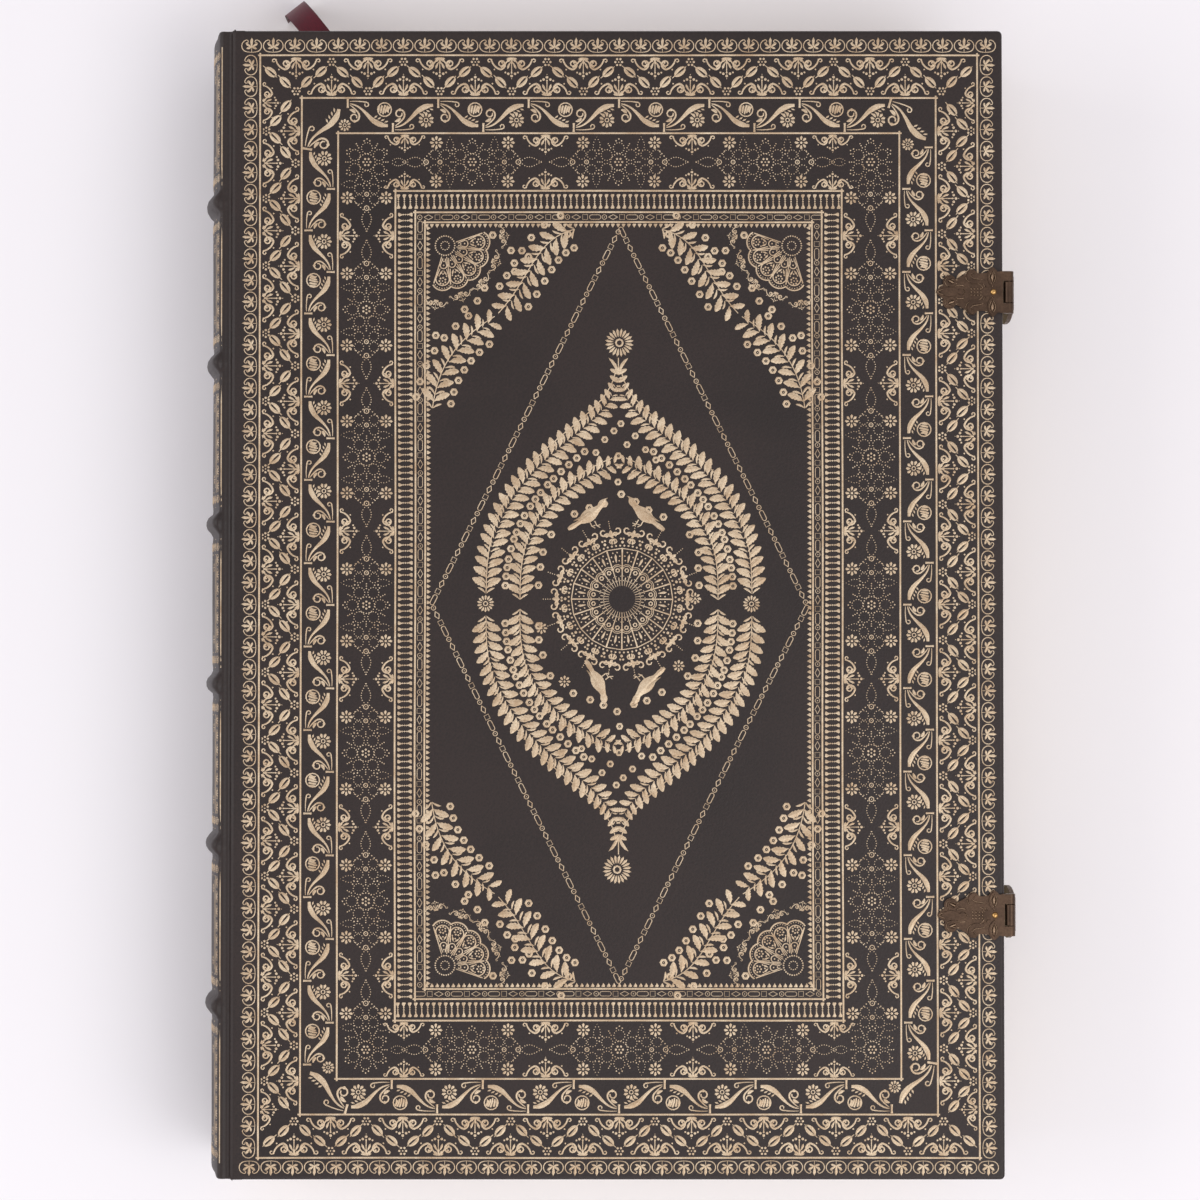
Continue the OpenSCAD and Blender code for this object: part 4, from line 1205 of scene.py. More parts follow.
    def chain(self) -> None:
        """Draws the lozenge of chain links between the corner pieces."""
        links = Tool.cut(lambda bm: draw_chain_links(bm, 0.42))
        bm = bmesh.new()
        tips = ((0.8, 151.0), (-75.0, 0.4), (0.0, -151.0), (75.4, -0.4))
        for (x0, y0), (x1, y1) in zip(tips, tips[1:] + tips[:1]):
            turn = math.degrees(math.atan2(y1 - y0, x1 - x0))
            count = round(math.hypot(x1 - x0, y1 - y0) / self.links_mm)
            for k in range(count):
                t = (k + 0.5) / count
                links.strike(bm, x0 + (x1 - x0) * t, y0 + (y1 - y0) * t, turn, size=0.94)
        self.gilding.lay("gilt_lozenge_chain", bm, "front_gilt_panel")

    def oval_quarter(self, bm: BMesh) -> None:
        """Draws the upper right quarter of the two ovals.

        Args:
            bm: the mesh that takes it.
        """
        self.spray(bm, ((53.2, 5.0), (52.4, 62.0), (1.0, 66.0), (0.3, 92.5)), self.oval_pitch, (7.6,), 0.98,
                   30.0)
        self.spray(bm, ((39.6, 2.0), (40.0, 40.0), (16.0, 50.0), (1.4, 56.5)), self.oval_pitch, (), 0.92, 9.0)
        stroke(bm, 0.2, 92.6, 78, 0.4, Move(7.4, -38, (1.3, 1.6, 1.3, POINT)))

    def oval(self) -> None:
        """Draws the two pointed ovals of leaves with their daisies and ring flowers."""
        bm = bmesh.new()
        Tool.cut(self.oval_quarter).strike_quarters(bm)
        for y in (104.8, -106.0):
            daisy(bm, 0.4 if y > 0 else -0.6, y, 5.8, 20)
            stroke(bm, 0, y - math.copysign(13.0, y), 90 if y > 0 else -90, 0.5, straight(7.0, 0.5, 2))
        for x, y in ((0.8, 72.3), (-2.0, 69.4), (6.5, 67.4), (-5.7, 65.9), (3.2, 63.9), (10.6, 61.9),
                     (-9.3, 60.7), (-0.3, 59.4), (14.7, 57.8), (-0.5, 48.9)):
            ring_flower(bm, x, y, 1.55)
            ring_flower(bm, -x, -y, 1.55)
        for x in (-53.4, 53.0):
            daisy(bm, x, 0.4, 3.5, 14)
        rng = random.Random(11)
        for y_side in SIDES:
            for i in range(7):
                ring_flower(bm, -18 + i * 6 + rng.uniform(-0.8, 0.8), y_side * (43 - abs(i - 3) * 2.4)
                            + rng.uniform(-1, 1))
            for x_side in SIDES:
                for x, y in ((27.6, 28.0), (31.0, 21.0), (32.2, 14.4), (31.6, 8.0)):
                    ring_flower(bm, x_side * x + rng.uniform(-0.7, 0.7), y_side * y + rng.uniform(-0.7, 0.7))
        for x, y in ((30.4, 2.4), (-31.0, -9.6), (24.0, -24.6), (-21.6, -31.0)):
            star_flower(bm, x, y, 2.4)
        self.gilding.lay("gilt_leaf_ovals", bm, "front_gilt_panel")

    def birds(self) -> None:
        """Draws the four birds above and below the wheel."""
        bird = Tool.cut(draw_bird)
        bm = bmesh.new()
        for x, y, turn, flip in ((-11.0, 35.7, 8, False), (9.0, 36.1, -12, True), (-7.4, -31.9, 145, True),
                                 (10.2, -32.9, 199, False)):
            bird.strike(bm, x, y, turn, flip)
        self.gilding.lay("gilt_birds", bm, "front_gilt_panel")

    def wheel_cell(self, bm: BMesh) -> None:
        """Draws one cell of the wheel and the crest over it.

        Args:
            bm: the mesh that takes it.
        """
        half = 180 / self.wheel_cells

        def at(radius: float, share: float) -> tuple[float, float]:
            """A point at a distance from the hub; its share is 0 at the cell's middle and 1 at its side."""
            return polar(0, 0, radius, half * (1 + share))

        stroke(bm, 5.3, 0, 0, 0.3, Move(14.8, 0, taper(0.35, 0.75, 3)))
        stroke(bm, *at(5.3, 0), half, 0.25, Move(3.4, 0, taper(0.3, 0.45, 1)))
        ring(bm, *at(11.6, 0), 0.75, 0.6, 6)
        for radius in (1.75, 2.4):
            stroke(bm, *polar(*at(11.5, 0), radius, half - 82), half + 8, 0.35,
                   Move(radius * 2.86, 164, even(0.38, 5)))
        petal(bm, *at(14.6, 0), half, 3.6, 1.2, 3)
        stroke(bm, *at(20.3, -1), half + 90, 0.5, straight(6.4, 0.45))
        for side in SIDES:
            dotted(bm, [at(7.4, side * 0.55), at(9.2, side * 0.62)], 0.26)
            dotted(bm, [at(15.4, side * 0.5), at(17.2, side * 0.62), at(18.7, side * 0.3)], 0.42)
            dotted(bm, [at(21.4, side * 0.25), at(21.4, side * 0.75)], 0.55)
            stroke(bm, *at(22.2, side * 0.12), half + side * 30, 0.8,
                   Move(5.0, -side * 280, taper(0.9, 0.6, 6), 0.4))
            dot(bm, *at(24.2, side * 0.85), 0.6)
        dot(bm, *at(22.8, 0.98), 0.75, 6)
        dot(bm, *at(25.0, 0), 0.6)

    def wheel_ray(self, bm: BMesh) -> None:
        """Draws one ray outside the wheel.

        Args:
            bm: the mesh that takes it.
        """
        for side in SIDES:
            stroke(bm, 25.6, 0, side * 66, 0.8, Move(2.6, side * 30, even(0.9, 2)),
                   Move(4.8, -side * 250, taper(0.9, 0.6, 6), 0.3))
            stroke(bm, 26.0, side * 0.4, side * 28, 0.5, Move(3.0, side * 120, taper(0.8, 0.5, 4)))
            dot(bm, 25.6, side * 1.8, 0.6)
        petal(bm, 24.8, 0, 0, 3.4, 1.7, 3)
        dotted(bm, [(28.8 + 0.9 * i, 0) for i in range(4)], 0.3)

    def wheel(self) -> None:
        """Draws the wheel: its cells with their flowers, the crest and the rays."""
        bm = bmesh.new()
        for draw, count in ((self.wheel_cell, self.wheel_cells), (self.wheel_ray, self.wheel_rays)):
            tool = Tool.cut(draw)
            for i in range(count):
                tool.strike(bm, *self.wheel_at, 360 / count * i)
        self.gilding.lay("gilt_wheel", bm, "front_gilt_panel")

    def build(self) -> None:
        """Tools the panel."""
        self.corners()
        self.chain()
        self.oval()
        self.birds()
        self.wheel()


# The leather of spine and joints


@dataclass
class SpineForm:
    """The outer shape of the spine: a round back, two shoulders and the grooves beside the covers."""

    mid_z: float
    edge_x: float
    head_y: float
    round_r: float = 90.9
    rise: float = 7.5
    shoulder_w: float = 3.5
    shoulder_r: float = 2.2
    shoulder_drop: float = 1.6
    groove_r: float = 1.75
    cover_edge_r: float = 1.48
    feather: float = 3.4
    over: float = 0.05

    @property
    def axis_x(self) -> float:
        """The place of the round back's own axis."""
        return self.edge_x - self.shoulder_w - self.rise + self.round_r

    def on_face(self, section: list, across: float, lift: float = 0.0) -> Vector:
        """A point over the spine's face.

        Args:
            section: the section of the spine's upper half.
            across: distance from the middle of the spine along its face, upwards.
            lift: height above the face.

        Returns:
            The point, at Y = 0.
        """
        reach = abs(across)
        upper = next(i for i in range(1, len(section)) if section[i][2] >= reach)
        (low, low_normal, low_at), (high, high_normal, high_at) = section[upper - 1], section[upper]
        t = (reach - low_at) / (high_at - low_at)
        place = low.lerp(high, t) + low_normal.lerp(high_normal, t).normalized() * lift
        return Vector((place.x, 0, self.mid_z + math.copysign(place.z - self.mid_z, across)))

    def section(self) -> list[tuple[Vector, Vector, float]]:
        """The section from the middle of the spine to the front cover's face.

        Returns:
            For each point its place, its outward normal and its distance from the middle of the spine.
        """
        points = []

        def arc(cx: float, cz: float, r: float, first: float, last: float, steps: int,
                inward: bool = False) -> None:
            """Adds an arc in degrees round a centre; its first point is left out where an arc ends there."""
            for i in range(1 if points else 0, steps + 1):
                a = math.radians(first + (last - first) * i / steps)
                normal = Vector((math.cos(a), 0, math.sin(a)))
                points.append((Vector((cx, 0, cz)) + r * normal, -normal if inward else normal))

        crest_x, crest_z = self.edge_x - self.shoulder_w, self.mid_z - self.shoulder_drop - self.shoulder_r
        half = math.degrees(math.asin(crest_z / (self.round_r - self.shoulder_r)))
        wall_x = self.edge_x - self.over
        top_z = 2 * self.mid_z + self.over
        shoulder_z = self.mid_z + crest_z
        groove_x = wall_x - self.groove_r
        reach = self.shoulder_r + self.groove_r
        groove_z = shoulder_z + math.sqrt(reach * reach - (groove_x - crest_x) ** 2)
        meet = math.degrees(math.atan2(groove_z - shoulder_z, groove_x - crest_x))
        edge_z = top_z - self.cover_edge_r
        start = 180 - math.degrees(math.asin((groove_z - edge_z) / self.cover_edge_r))
        arc(self.axis_x, self.mid_z, self.round_r, 180, 180 - half, 26)
        arc(crest_x, shoulder_z, self.shoulder_r, 180 - half, meet, 9)
        arc(groove_x, groove_z, self.groove_r, 180 + meet, 360, 7, inward=True)
        arc(wall_x + self.cover_edge_r, edge_z, self.cover_edge_r, start, 90, 6)
        last = points[-1][0]
        for t in (0.35, 0.7, 1.0):
            points.append((last + Vector((self.feather * t, 0, -2 * self.over * t * t)), Vector((0, 0, 1))))
        result, walked = [], 0.0
        for i, (point, normal) in enumerate(points):
            walked += (point - points[i - 1][0]).length if i else 0.0
            result.append((point, normal, walked))
        return result


@dataclass
class SpineLeather:
    """The leather from one cover's face over the joint and round the back, with its raised bands."""

    form: SpineForm
    band_pitch: float = 64.6
    band_count: int = 6
    band_rise: float = 2.55
    band_half: float = 3.9
    band_reach: float = 30.6
    joint_at: float = 26.0  # distance across the spine at which the back turns into the joint
    uneven: float = 0.12
    fade_w: float = 3.0  # over which a band runs out at its ends
    tie: tuple = (0.28, 5.6, 1.5)  # depth, place and width of the dent beside a tied-up band
    pull: float = 0.16  # height of the puckers at the joint
    cap_r: float = 3.2
    joint_cap_r: float = 0.7
    cap_turn: float = 100.0  # degrees by which the leather turns in at head and tail
    rows: int = 300
    cap_rows: int = 7
    thickness: float = 0.5
    hinge_in: float = 2.6
    hinge_out: float = 0.1

    def band_places(self) -> list[float]:
        """The raised bands' places along the book."""
        first = -self.band_pitch * (self.band_count - 1) / 2
        return [first + i * self.band_pitch for i in range(self.band_count)]

    def lift(self, y: float, across: float) -> float:
        """Height of the leather over its plain form: its bands, and what it gives under the hand.

        Args:
            y: place along the book.
            across: distance from the middle of the spine.

        Returns:
            Height above the plain form.
        """
        uneven = self.uneven * math.sin(y / 23 + 1) * math.sin(across / 9)
        return self.band_lift(y, across) + uneven * (1 - smooth((across - self.joint_at) / 6))

    def band_lift(self, y: float, across: float) -> float:
        """Height of the nearest raised band at a place on the spine.

        Args:
            y: place along the book.
            across: distance from the middle of the spine.

        Returns:
            Height above the plain leather.
        """
        away = min(abs(y - place) for place in self.band_places())
        past = max(0.0, across - self.band_reach) / self.fade_w
        fade = math.sqrt(max(0.0, 1 - past * past))
        lift = self.band_rise * fade * max(0.0, 1 - (away / self.band_half) ** 2) ** 0.75
        depth, place, width = self.tie
        tied = -depth * math.exp(-((away - place) / width) ** 2) * fade
        pull = self.pull * math.sin(away * 1.9) * math.exp(-away / 5) * smooth((across - 28) / 4)
        return lift + tied + pull * (1 - smooth((across - 36) / 4))

    def thicken(self, bm: BMesh) -> None:
        """Gives the sheet its inner face and its rims, which stay sharp.

        Args:
            bm: the sheet, as it is seen from outside.
        """
        bm.normal_update()
        made = bmesh.ops.duplicate(bm, geom=bm.verts[:] + bm.edges[:] + bm.faces[:])["geom"]
        inner = [(v, v.normal.copy()) for v in made if isinstance(v, bmesh.types.BMVert)]
        for v, normal in inner:
            v.co -= normal * self.thickness
        bmesh.ops.reverse_faces(bm, faces=[f for f in made if isinstance(f, bmesh.types.BMFace)])
        rims = [e for e in bm.edges if e.is_boundary]
        bmesh.ops.bridge_loops(bm, edges=rims)
        for edge in rims:
            edge.smooth = False

    def half(self, name: str, cover: str, upper: bool) -> None:
        """Makes one half, from the middle of the spine to a cover.

        Args:
            name: the piece's name.
            cover: the cover's body; not used.
            upper: True for the front cover's half.
        """
        section = self.form.section()
        columns = len(section) - 1
        total = self.rows + 2 * self.cap_rows
        bm = bmesh.new()
        bmesh.ops.create_grid(bm, x_segments=columns, y_segments=total, size=1)
        for v in bm.verts:
            column = round((v.co.x + 1) / 2 * columns)
            row = round((v.co.y + 1) / 2 * total) - total / 2
            point, normal, across = section[column]
            cap = self.cap_r + (self.joint_cap_r - self.cap_r) * smooth((across - 25) / 6)
            straight = self.form.head_y - cap
            curl = max(0.0, abs(row) - self.rows / 2) / self.cap_rows * math.radians(self.cap_turn)
            y = math.copysign(min(abs(row) / (self.rows / 2), 1.0) * straight + cap * math.sin(curl), row)
            place = point + normal * (self.lift(y, across) - cap * (1 - math.cos(curl)))
            v.co = Vector((place.x, y, place.z))
        bmesh.ops.recalc_face_normals(bm, faces=bm.faces)
        outermost = min(bm.faces, key=lambda f: f.calc_center_median().x)
        if outermost.normal.x > 0:
            bmesh.ops.reverse_faces(bm, faces=bm.faces)
        self.thicken(bm)
        if not upper:
            bmesh.ops.scale(bm, vec=(1, 1, -1), space=Matrix.Translation((0, 0, -self.form.mid_z)),
                            verts=bm.verts)
            bmesh.ops.reverse_faces(bm, faces=bm.faces)
        piece = make_piece(name, bm, (GOATSKIN,))
        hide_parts("spine_leather")
        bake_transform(piece)

    def build(self) -> None:
        """Makes both halves."""
        self.half("spine_leather_front", "front_cover", True)
        self.half("spine_leather_back", "back_cover", False)


@dataclass
class SpineGilding:
    """The gold on the spine: seven panels, each with two frames and a few small flowers."""

    leather: SpineLeather
    half_w: float = 33.3
    clear: float = 6.4  # from a band's middle to the next panel
    sink: float = 0.03
    roll_off: float = 3.1  # of the leaf roll's middle from the panel's edge
    roll_w: float = 5.0
    roll_pitch: float = 5.6
    frames: tuple = ((0.0, 0.8), (6.2, 0.7), (8.0, 0.35))  # inset and width of each line
    line_step: float = 4.0
    sprig_off: float = 3.4
    star_off: float = 11.4

    def panel(self, bm: BMesh, low: float, high: float, tools: dict[str, Tool]) -> None:
        """Draws one panel; X is the distance across the spine.

        Args:
            bm: the drawing.
            low: the panel's lower end.
            high: its upper end.
            tools: the finishing tools by name.
        """
        middle, half_h = (low + high) / 2, (high - low) / 2
        for inset, width in self.frames:
            w, h = self.half_w - inset, half_h - inset
            w_steps, h_steps = (max(2, round(length / self.line_step)) for length in (w, h))
            rule_frame(bm, middle, (w, h, w_steps), (h, w, h_steps), width)
        border = Border(self.half_w - self.roll_off, half_h - self.roll_off, self.roll_w)
        tools["leaf"].roll(bm, border, self.roll_pitch, middle, 0.58)
        tools["bloom"].strike(bm, 0, middle)
        for side in SIDES:
            for end in SIDES:
                lean = 90 - side * 90 + side * end * 45
                tools["sprig"].strike(bm, side * self.sprig_off, middle + end * self.sprig_off, lean,
                                      size=0.8)
                tools["star"].strike(bm, side * (self.half_w - self.star_off),
                                     middle + end * (half_h - self.star_off))

    def build(self) -> None:
        """Draws the panels flat and lays them on the spine."""
        tools = {
            "leaf": Tool.cut(draw_vine_leaf),
            "bloom": Tool.cut(lambda bm: daisy(bm, 0, 0, 3.4, 9)),
            "sprig": Tool.cut(draw_small_leaf),
            "star": Tool.cut(lambda bm: star_flower(bm, 0, 0, 1.9, 6)),
        }
        head_y = self.leather.form.head_y
        ends = [-head_y, *self.leather.band_places(), head_y]
        bm = bmesh.new()
        for low, high in zip(ends, ends[1:]):
            self.panel(bm, low + self.clear, high - self.clear, tools)
        section = self.leather.form.section()
        for v in bm.verts:
            across, y = v.co.x, v.co.y
            lift = self.leather.lift(y, abs(across)) - self.sink + v.co.z
            place = self.leather.form.on_face(section, across, lift)
            v.co = Vector((place.x, y, place.z))
        piece = make_piece("spine_gold", bm, (GOLD_LEAF,), crisp=True)
        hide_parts("spine_gilding")
        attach(piece, "book_block")


# Leaves, endbands and ribbon


@dataclass
class LeafBlock:
    """The block of leaves: hundreds of sheets whose edges don't quite line up."""

    low: Vector
    high: Vector
    form: SpineForm
    levels: int = 150
    hollow: float = 7.0
    stray: float = 0.22
    gather: float = 0.12
    wave: float = 0.25
    cover_t: float = 1.8  # of the leather and linings round the back
    steps: tuple = (10, 22, 10, 22)  # along the outline's tail, fore edge, head and back

    def edge(self, share: float) -> tuple[float, float]:
        """The block's two ends in X at a height.

        Args:
            share: height within the block, from 0 to 1.

        Returns:
            X of the spine side and X of the fore edge.
        """
        half = (self.high.z - self.low.z) / 2
        z = (2 * share - 1) * half
        fore_r = (half * half + self.hollow * self.hollow) / (2 * self.hollow)
        back_r = self.form.round_r - self.cover_t
        back_fall, fore_fall = (r - math.sqrt(r * r - z * z) for r in (back_r, fore_r))
        return self.low.x + back_fall, self.high.x - self.hollow + fore_fall

    def outline(self, share: float, pull: float, phases: list[float]) -> list[Vector]:
        """The block's outline at one height.

        Args:
            share: height within the block, from 0 to 1.
            pull: how far this leaf lies behind the longest one.
            phases: where the waves of the edges start.

        Returns:
            The points of the outline.
        """
        back, fore = self.edge(share)
        gather = [self.gather * (1 + math.sin(phases[k] + share * 17 * (k + 1))) for k in range(2)]
        half = self.high.y - pull - gather[0]
        fore -= pull + gather[1]
        corners = ((back, -half), (fore, -half), (fore, half), (back, half))
        found = []
        for (x0, y0), (x1, y1), steps in zip(corners, corners[1:] + corners[:1], self.steps):
            for i in range(steps):
                x, y = x0 + (x1 - x0) * i / steps, y0 + (y1 - y0) * i / steps
                ripple = (math.sin(y / 37 + phases[3] + share * 3)
                          + 0.6 * math.sin(y / 13 + x / 29 + phases[4]))
                wave = self.wave * ripple * math.sin(math.pi * share)
                found.append(Vector((x, y, self.low.z + (self.high.z - self.low.z) * share + wave)))
        return found

    def build(self) -> None:
        """Makes the block from one outline, raised leaf by leaf."""
        rng = random.Random(7)
        bm = bmesh.new()
        phases = [rng.uniform(0, math.tau) for _ in range(6)]
        corners = [bm.verts.new(co) for co in self.outline(0, rng.uniform(0, self.stray), phases)]
        bm.faces.new(corners)
        loop = list(bm.edges)
        for level in range(1, self.levels + 1):
            fresh, loop = grow(bm, loop)
            corners = [next(e.other_vert(v) for e in v.link_edges if e.other_vert(v) in fresh)
                       for v in corners]
            for v, co in zip(corners, self.outline(level / self.levels, rng.uniform(0, self.stray), phases)):
                v.co = co
        bmesh.ops.contextual_create(bm, geom=loop)
        bmesh.ops.recalc_face_normals(bm, faces=bm.faces)
        piece = make_piece("leaves", bm, (LEAF_EDGES,), crisp=True)
        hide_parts("text_block")
        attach(piece, "book_block")


@dataclass
class Endband:
    """Silk in two colours wound over a core, at one end of the spine."""

    form: SpineForm
    y: float
    ring_r: float
    tube_r: float = 1.15
    half_angle: float = 19.2
    wraps: int = 46
    swell: float = 0.09
    stripe: int = 3  # wraps of one colour, side by side

    def build(self, name: str, node: str) -> None:
        """Winds the band.

        Args:
            name: the piece's name.
            node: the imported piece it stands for.
        """
        bm = bmesh.new()
        steps = self.wraps * 2
        turn = math.radians(2 * self.half_angle)
        start = math.radians(self.half_angle)
        middle = Vector((self.form.axis_x, self.y, self.form.mid_z))
        out = Vector((-math.cos(start), 0, -math.sin(start)))
        section = bmesh.ops.create_circle(bm, cap_ends=True, segments=10, radius=self.tube_r)["verts"]
        along = Vector((0, 1, 0))
        across = Matrix((out, along, out.cross(along))).transposed().to_4x4()
        bmesh.ops.transform(bm, matrix=Matrix.Translation(middle + out * self.ring_r) @ across, verts=section)
        bmesh.ops.spin(bm, geom=bm.faces[:], cent=middle, axis=(0, 1, 0), angle=turn, steps=steps)
        bmesh.ops.remove_doubles(bm, verts=bm.verts, dist=0.001)
        bmesh.ops.recalc_face_normals(bm, faces=bm.faces)
        for v in bm.verts:
            angle = math.atan2(v.co.z - middle.z, middle.x - v.co.x)
            spoke = middle + Vector((-math.cos(angle), 0, math.sin(angle))) * self.ring_r
            swell = 1 + self.swell * math.cos(math.tau * (angle + start) / turn * self.wraps)
            v.co = spoke + (v.co - spoke) * swell
        for face in bm.faces:
            c = face.calc_center_median()
            angle = math.atan2(c.z - middle.z, middle.x - c.x)
            wrap = int((angle + start) / turn * self.wraps)
            face.material_index = wrap // self.stripe % 2
        piece = make_piece(name, bm, (RED_SILK, CREAM_SILK))
        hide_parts(node)
        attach(piece, "book_block")


@dataclass
class Ribbon:
    """A satin marker that leaves the leaves at the head on a slant and falls over to the table."""

    mid_z: float
    exit_x: float = -116.4
    exit_y: float = 226.0
    slant: float = 38.0
    width: float = 10.0
    inside: float = 150.0
    lip: float = 10.0
    bend_r: float = 20.0
    thickness: float = 0.24
    table_gap: float = 0.5
    columns: int = 8
    rows: int = 110

    @property
    def length(self) -> float:
        """The whole flat length, with the part that hangs straight down to the table."""
        drop = self.mid_z - self.bend_r - self.table_gap
        return self.inside + self.lip + self.bend_r * math.pi / 2 + drop

    def place(self, across: float, along: float) -> Vector:
        """Where a point of the flat ribbon lies.

        Args:
            across: distance from its middle line.
            along: distance from its inner end.

        Returns:
            The point.
        """
        past = along - self.inside
        angle = min(max(past - self.lip, 0) / self.bend_r, math.pi / 2)
        hang = max(past - self.lip - self.bend_r * math.pi / 2, 0)
        reach = min(past, self.lip) + self.bend_r * math.sin(angle)
        fall = self.bend_r * (1 - math.cos(angle)) + hang
        a = math.radians(90 + self.slant)
        ahead, beside = Vector((math.cos(a), math.sin(a), 0)), Vector((math.sin(a), -math.cos(a), 0))
        ripple = (0.5 * math.sin(hang / 6.5) * smooth(hang / 8)
                  + 0.16 * math.sin(past / 5.2) * smooth(past / 5))
        exit_at = Vector((self.exit_x, self.exit_y, self.mid_z - fall))
        return exit_at + ahead * (reach + ripple) + beside * across

    def build(self) -> None:
        bm = bmesh.new()
        bmesh.ops.create_grid(bm, x_segments=self.columns, y_segments=self.rows, size=1, calc_uvs=False)
        uv = bm.loops.layers.uv.new("UVMap")
        for face in bm.faces:
            for loop in face.loops:
                loop[uv].uv = ((loop.vert.co.x + 1) / 2 * self.width, (loop.vert.co.y + 1) / 2 * self.length)
        for v in bm.verts:
            v.co = self.place(v.co.x * self.width / 2, (v.co.y + 1) / 2 * self.length)
        bmesh.ops.solidify(bm, geom=bm.faces, thickness=self.thickness)
        bmesh.ops.recalc_face_normals(bm, faces=bm.faces)
        piece = make_piece("ribbon", bm, (SATIN,))
        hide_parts("ribbon_marker")
        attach(piece, "book_block")


# Clasps


def draw_clasp_relief(bm: BMesh) -> None:
    """Cast ornament of a clasp plate; the board's edge is at X = 0 and the leaf tip points to -X.

    Args:
        bm: the mesh that takes it.
    """
    cast = partial(stroke, bm, ridge=CAST_RIDGE)
    for side in SIDES:
        cast(-26.5, 0, side * 34, 0.4, Move(9.4, -side * 68, even(0.5, 8)))
        for k in range(3):
            cast(-15.0 + 0.75 * k, side * (6.3 + 0.75 * k), -side * 90, 0.4,
                 Move(3.6, side * 84, even(0.42, 6)), Move(2.4, -side * 6, even(0.42, 3)),
                 Move(3.4, -side * 66, even(0.42, 5)))
        ring(bm, -21.4, side * 4.1, 1.9, 0.45, 12)
        petal(bm, -18.4, side * 3.2, 180 - side * 22, 4.6, 1.5, 4)
        petal(bm, -18.0, side * 4.8, 180 - side * 4, 3.0, 1.1, 3)
        cast(-15.4, side * 2.2, 150 * side, 0.3, Move(4.0, side * 60, taper(0.6, 0.4, 4)))
        for lean in SIDES:
            cast(-4.3, side * 3.2, side * (90 + lean * 48), 0.5, Move(5.9, -lean * side * 92, even(0.5, 7)))
        petal(bm, -4.3, side * 4.1, side * 90, 3.5, 2.2, 4)
        dot(bm, -4.3, side * 2.3, 0.5, 8)
        dot(bm, -12.6, side * 7.6, 0.7, 8)
    for x in (-12.8, -11.5, -10.2, -8.9):
        for y in (-1.25, 0, 1.25):
            dot(bm, x, y, 0.55, 4)
    petal(bm, -17.6, 0, 180, 7.4, 2.5, 5)
    dot(bm, -16.3, 0, 1.15, 12)


@dataclass
class ClaspRelief:
    """The cast ornament on the two clasp plates."""

    edge_x: float
    ear_rise: float = 0.5  # of the ears' top over the plate's face
    lift: float = 3.2  # how many times as high as gold the ornament stands

    def build(self) -> None:
        """Casts the ornament of both plates."""
        tool = Tool.cut(draw_clasp_relief)
        for side in ("upper", "lower"):
            low, high = box_mm(f"{side}_clasp_plate")
            bm = bmesh.new()
            tool.strike(bm, self.edge_x, (low.y + high.y) / 2)
            for v in bm.verts:
                v.co.z = high.z - self.ear_rise + v.co.z * self.lift
            # the ornament's lighter bronze is partly real wear and partly a painted highlight on its ridges
            piece = make_piece(f"{side}_clasp_relief", bm, (RUBBED_AND_HIGHLIT_BRONZE,))
            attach(piece, "front_cover")


# Table, light and camera


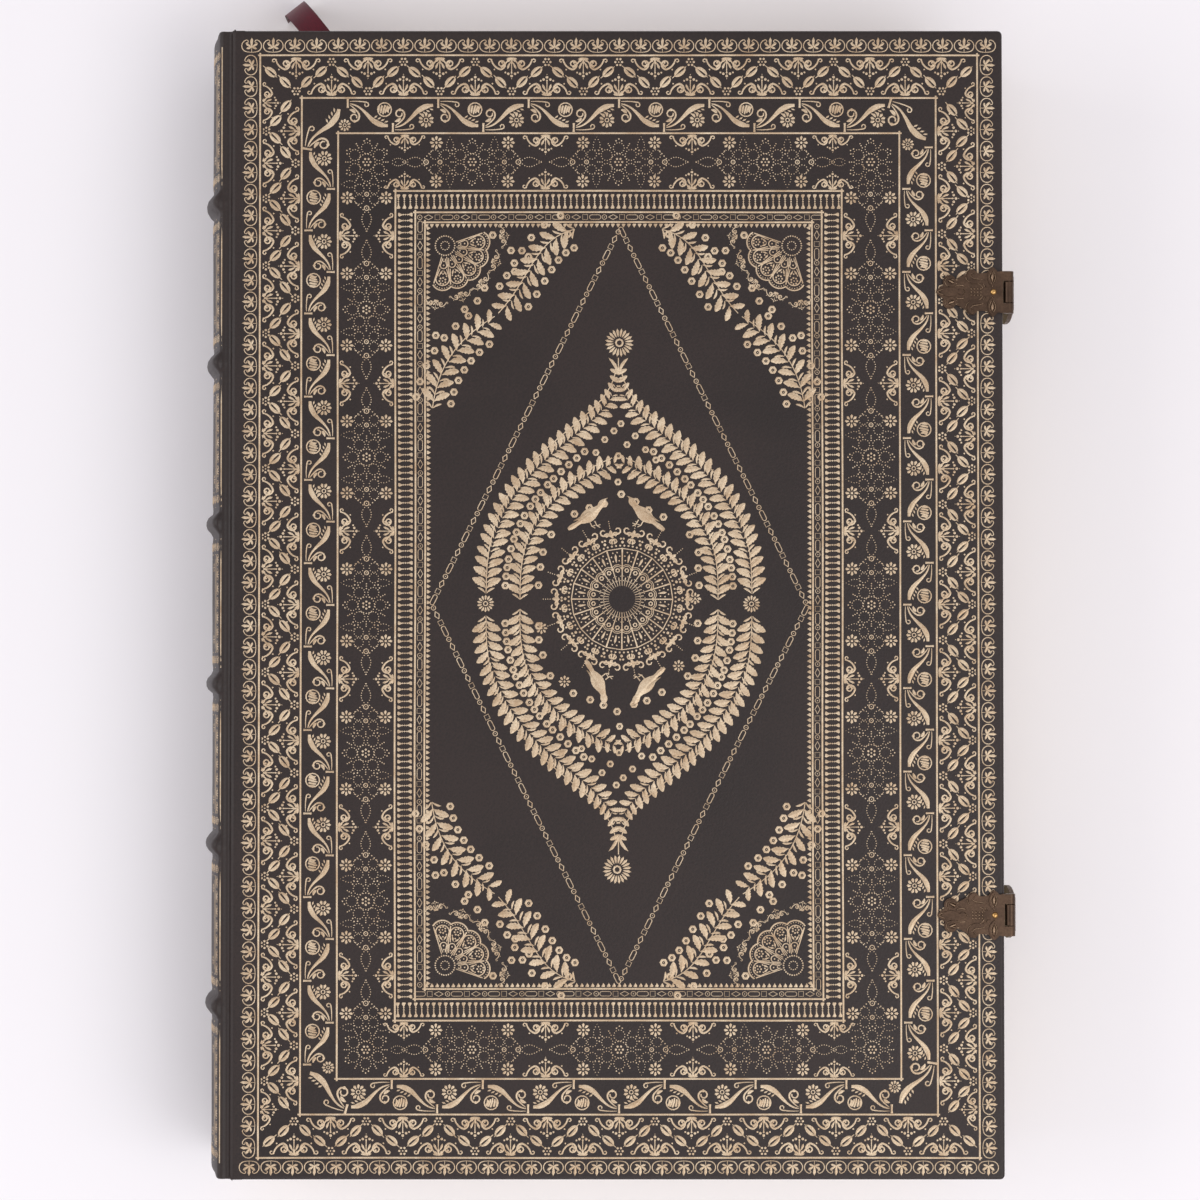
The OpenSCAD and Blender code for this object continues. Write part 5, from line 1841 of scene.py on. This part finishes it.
@dataclass
class Studio:
    """A pale table under soft light, seen from above as in the photograph."""

    top_z: float
    target_x: float = -7.0
    target_y: float = 1.2
    distance: float = 1250.0
    towards_tail: float = 26.0  # how far the camera stands from straight above
    lens: float = 93.75
    sensor: float = 36.0
    table_half: float = 4.0  # in metres
    room_light: float = 0.76

    def floor(self) -> None:
        """Lays the table."""
        bm = bmesh.new()
        bmesh.ops.create_grid(bm, x_segments=1, y_segments=1, size=self.table_half)
        mesh = finish_mesh("table_top", bm)
        table = add_object("table_top", mesh)
        paint = bpy.data.materials.new("pale_table")
        paint.use_nodes = True
        shader = paint.node_tree.nodes["Principled BSDF"]
        shader.inputs["Base Color"].default_value = linear_colour("#f2eff2")
        shader.inputs["Roughness"].default_value = 0.9
        mesh.materials.append(paint)

    def aim(self, name: str, data: bpy.types.ID, place: Vector, target: Vector) -> bpy.types.Object:
        """Sets up a lamp or the camera.

        Args:
            name: its name.
            data: the lamp or camera.
            place: where it stands, in metres.
            target: what it looks at, in metres.

        Returns:
            Its object.
        """
        holder = add_object(name, data)
        holder.location = place
        holder.rotation_euler = (target - place).to_track_quat("-Z", "Y").to_euler()
        return holder

    def lamp(self, name: str, place: tuple, size: float, power: float) -> None:
        """Hangs a soft square lamp that looks at the book.

        Args:
            name: the lamp's name.
            place: where it hangs, in metres.
            size: length of its side, in metres.
            power: its power in watts.
        """
        light = bpy.data.lights.new(name, "AREA")
        light.shape = "SQUARE"
        light.size = size
        light.energy = power
        self.aim(name, light, Vector(place), Vector())

    def camera(self) -> None:
        """Sets the camera above the book."""
        camera = bpy.data.cameras.new("camera")
        camera.lens = self.lens
        camera.sensor_width = self.sensor
        camera.clip_end = 20
        target = Vector((self.target_x, self.target_y, self.top_z))
        place = target + Vector((0, -self.towards_tail, self.distance))
        bpy.context.scene.camera = self.aim("camera", camera, place * MM, target * MM)

    def build(self) -> None:
        """Sets up table, lamps, world and camera."""
        self.floor()
        self.lamp("lamp_right", (1.3, -0.7, 2.2), 1.4, 19.0)
        self.lamp("lamp_left", (-2.0, 0.1, 1.3), 1.4, 13.0)
        self.lamp("lamp_tail", (0.2, -1.6, 1.6), 1.2, 7.0)
        world = bpy.data.worlds.new("room")
        world.use_nodes = True
        light = world.node_tree.nodes["Background"].inputs
        light["Color"].default_value = (0.92, 0.9, 0.93, 1)
        light["Strength"].default_value = self.room_light
        bpy.context.scene.world = world
        bpy.context.scene.view_settings.view_transform = "Standard"
        self.camera()


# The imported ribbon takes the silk, because satin follows a UV map that only the fine ribbon has.
FINISH_OF_SLOT = {
    "leather": GOATSKIN,
    "board": BOARD,
    "endpaper": ENDPAPER,
    "leaves": LEAF_EDGES,
    "lining": ENDPAPER,
    "cord": HEMP,
    "gilding": GOLD_LEAF,
    "bronze": BRONZE,
    "brass_pin": BRASS,
    "endband_silk": RED_SILK,
    "ribbon_silk": RED_SILK,
}


def dress_packed_pieces() -> None:
    """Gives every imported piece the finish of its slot."""
    for subpart in frame["record"]["subparts"]:
        mesh = frame["nodes"][subpart["node"]].data
        mesh.materials.clear()
        mesh.materials.append(FINISH_OF_SLOT[subpart["material_slot"]].material())


def main() -> None:
    """Builds the book's fine pieces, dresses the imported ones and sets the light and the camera."""
    logging.basicConfig(level=logging.INFO, format="%(message)s")
    dress_packed_pieces()
    cover_low, cover_high = box_mm("front_cover_leather")
    form = SpineForm(mid_z=cover_high.z / 2, edge_x=cover_low.x, head_y=cover_high.y)
    CoverGilding(cover_high.z).build()
    leather = SpineLeather(form)
    leather.build()
    SpineGilding(leather).build()
    LeafBlock(*box_mm("text_block"), form).build()
    for name, node in (("head_silk", "headband"), ("tail_silk", "tailband")):
        low, high = box_mm(node)
        Endband(form, (low.y + high.y) / 2, form.axis_x - low.x - Endband.tube_r).build(name, node)
    Ribbon(form.mid_z).build()
    ClaspRelief(cover_high.x).build()
    Studio(cover_high.z).build()


if __name__ == "__main__":
    main()
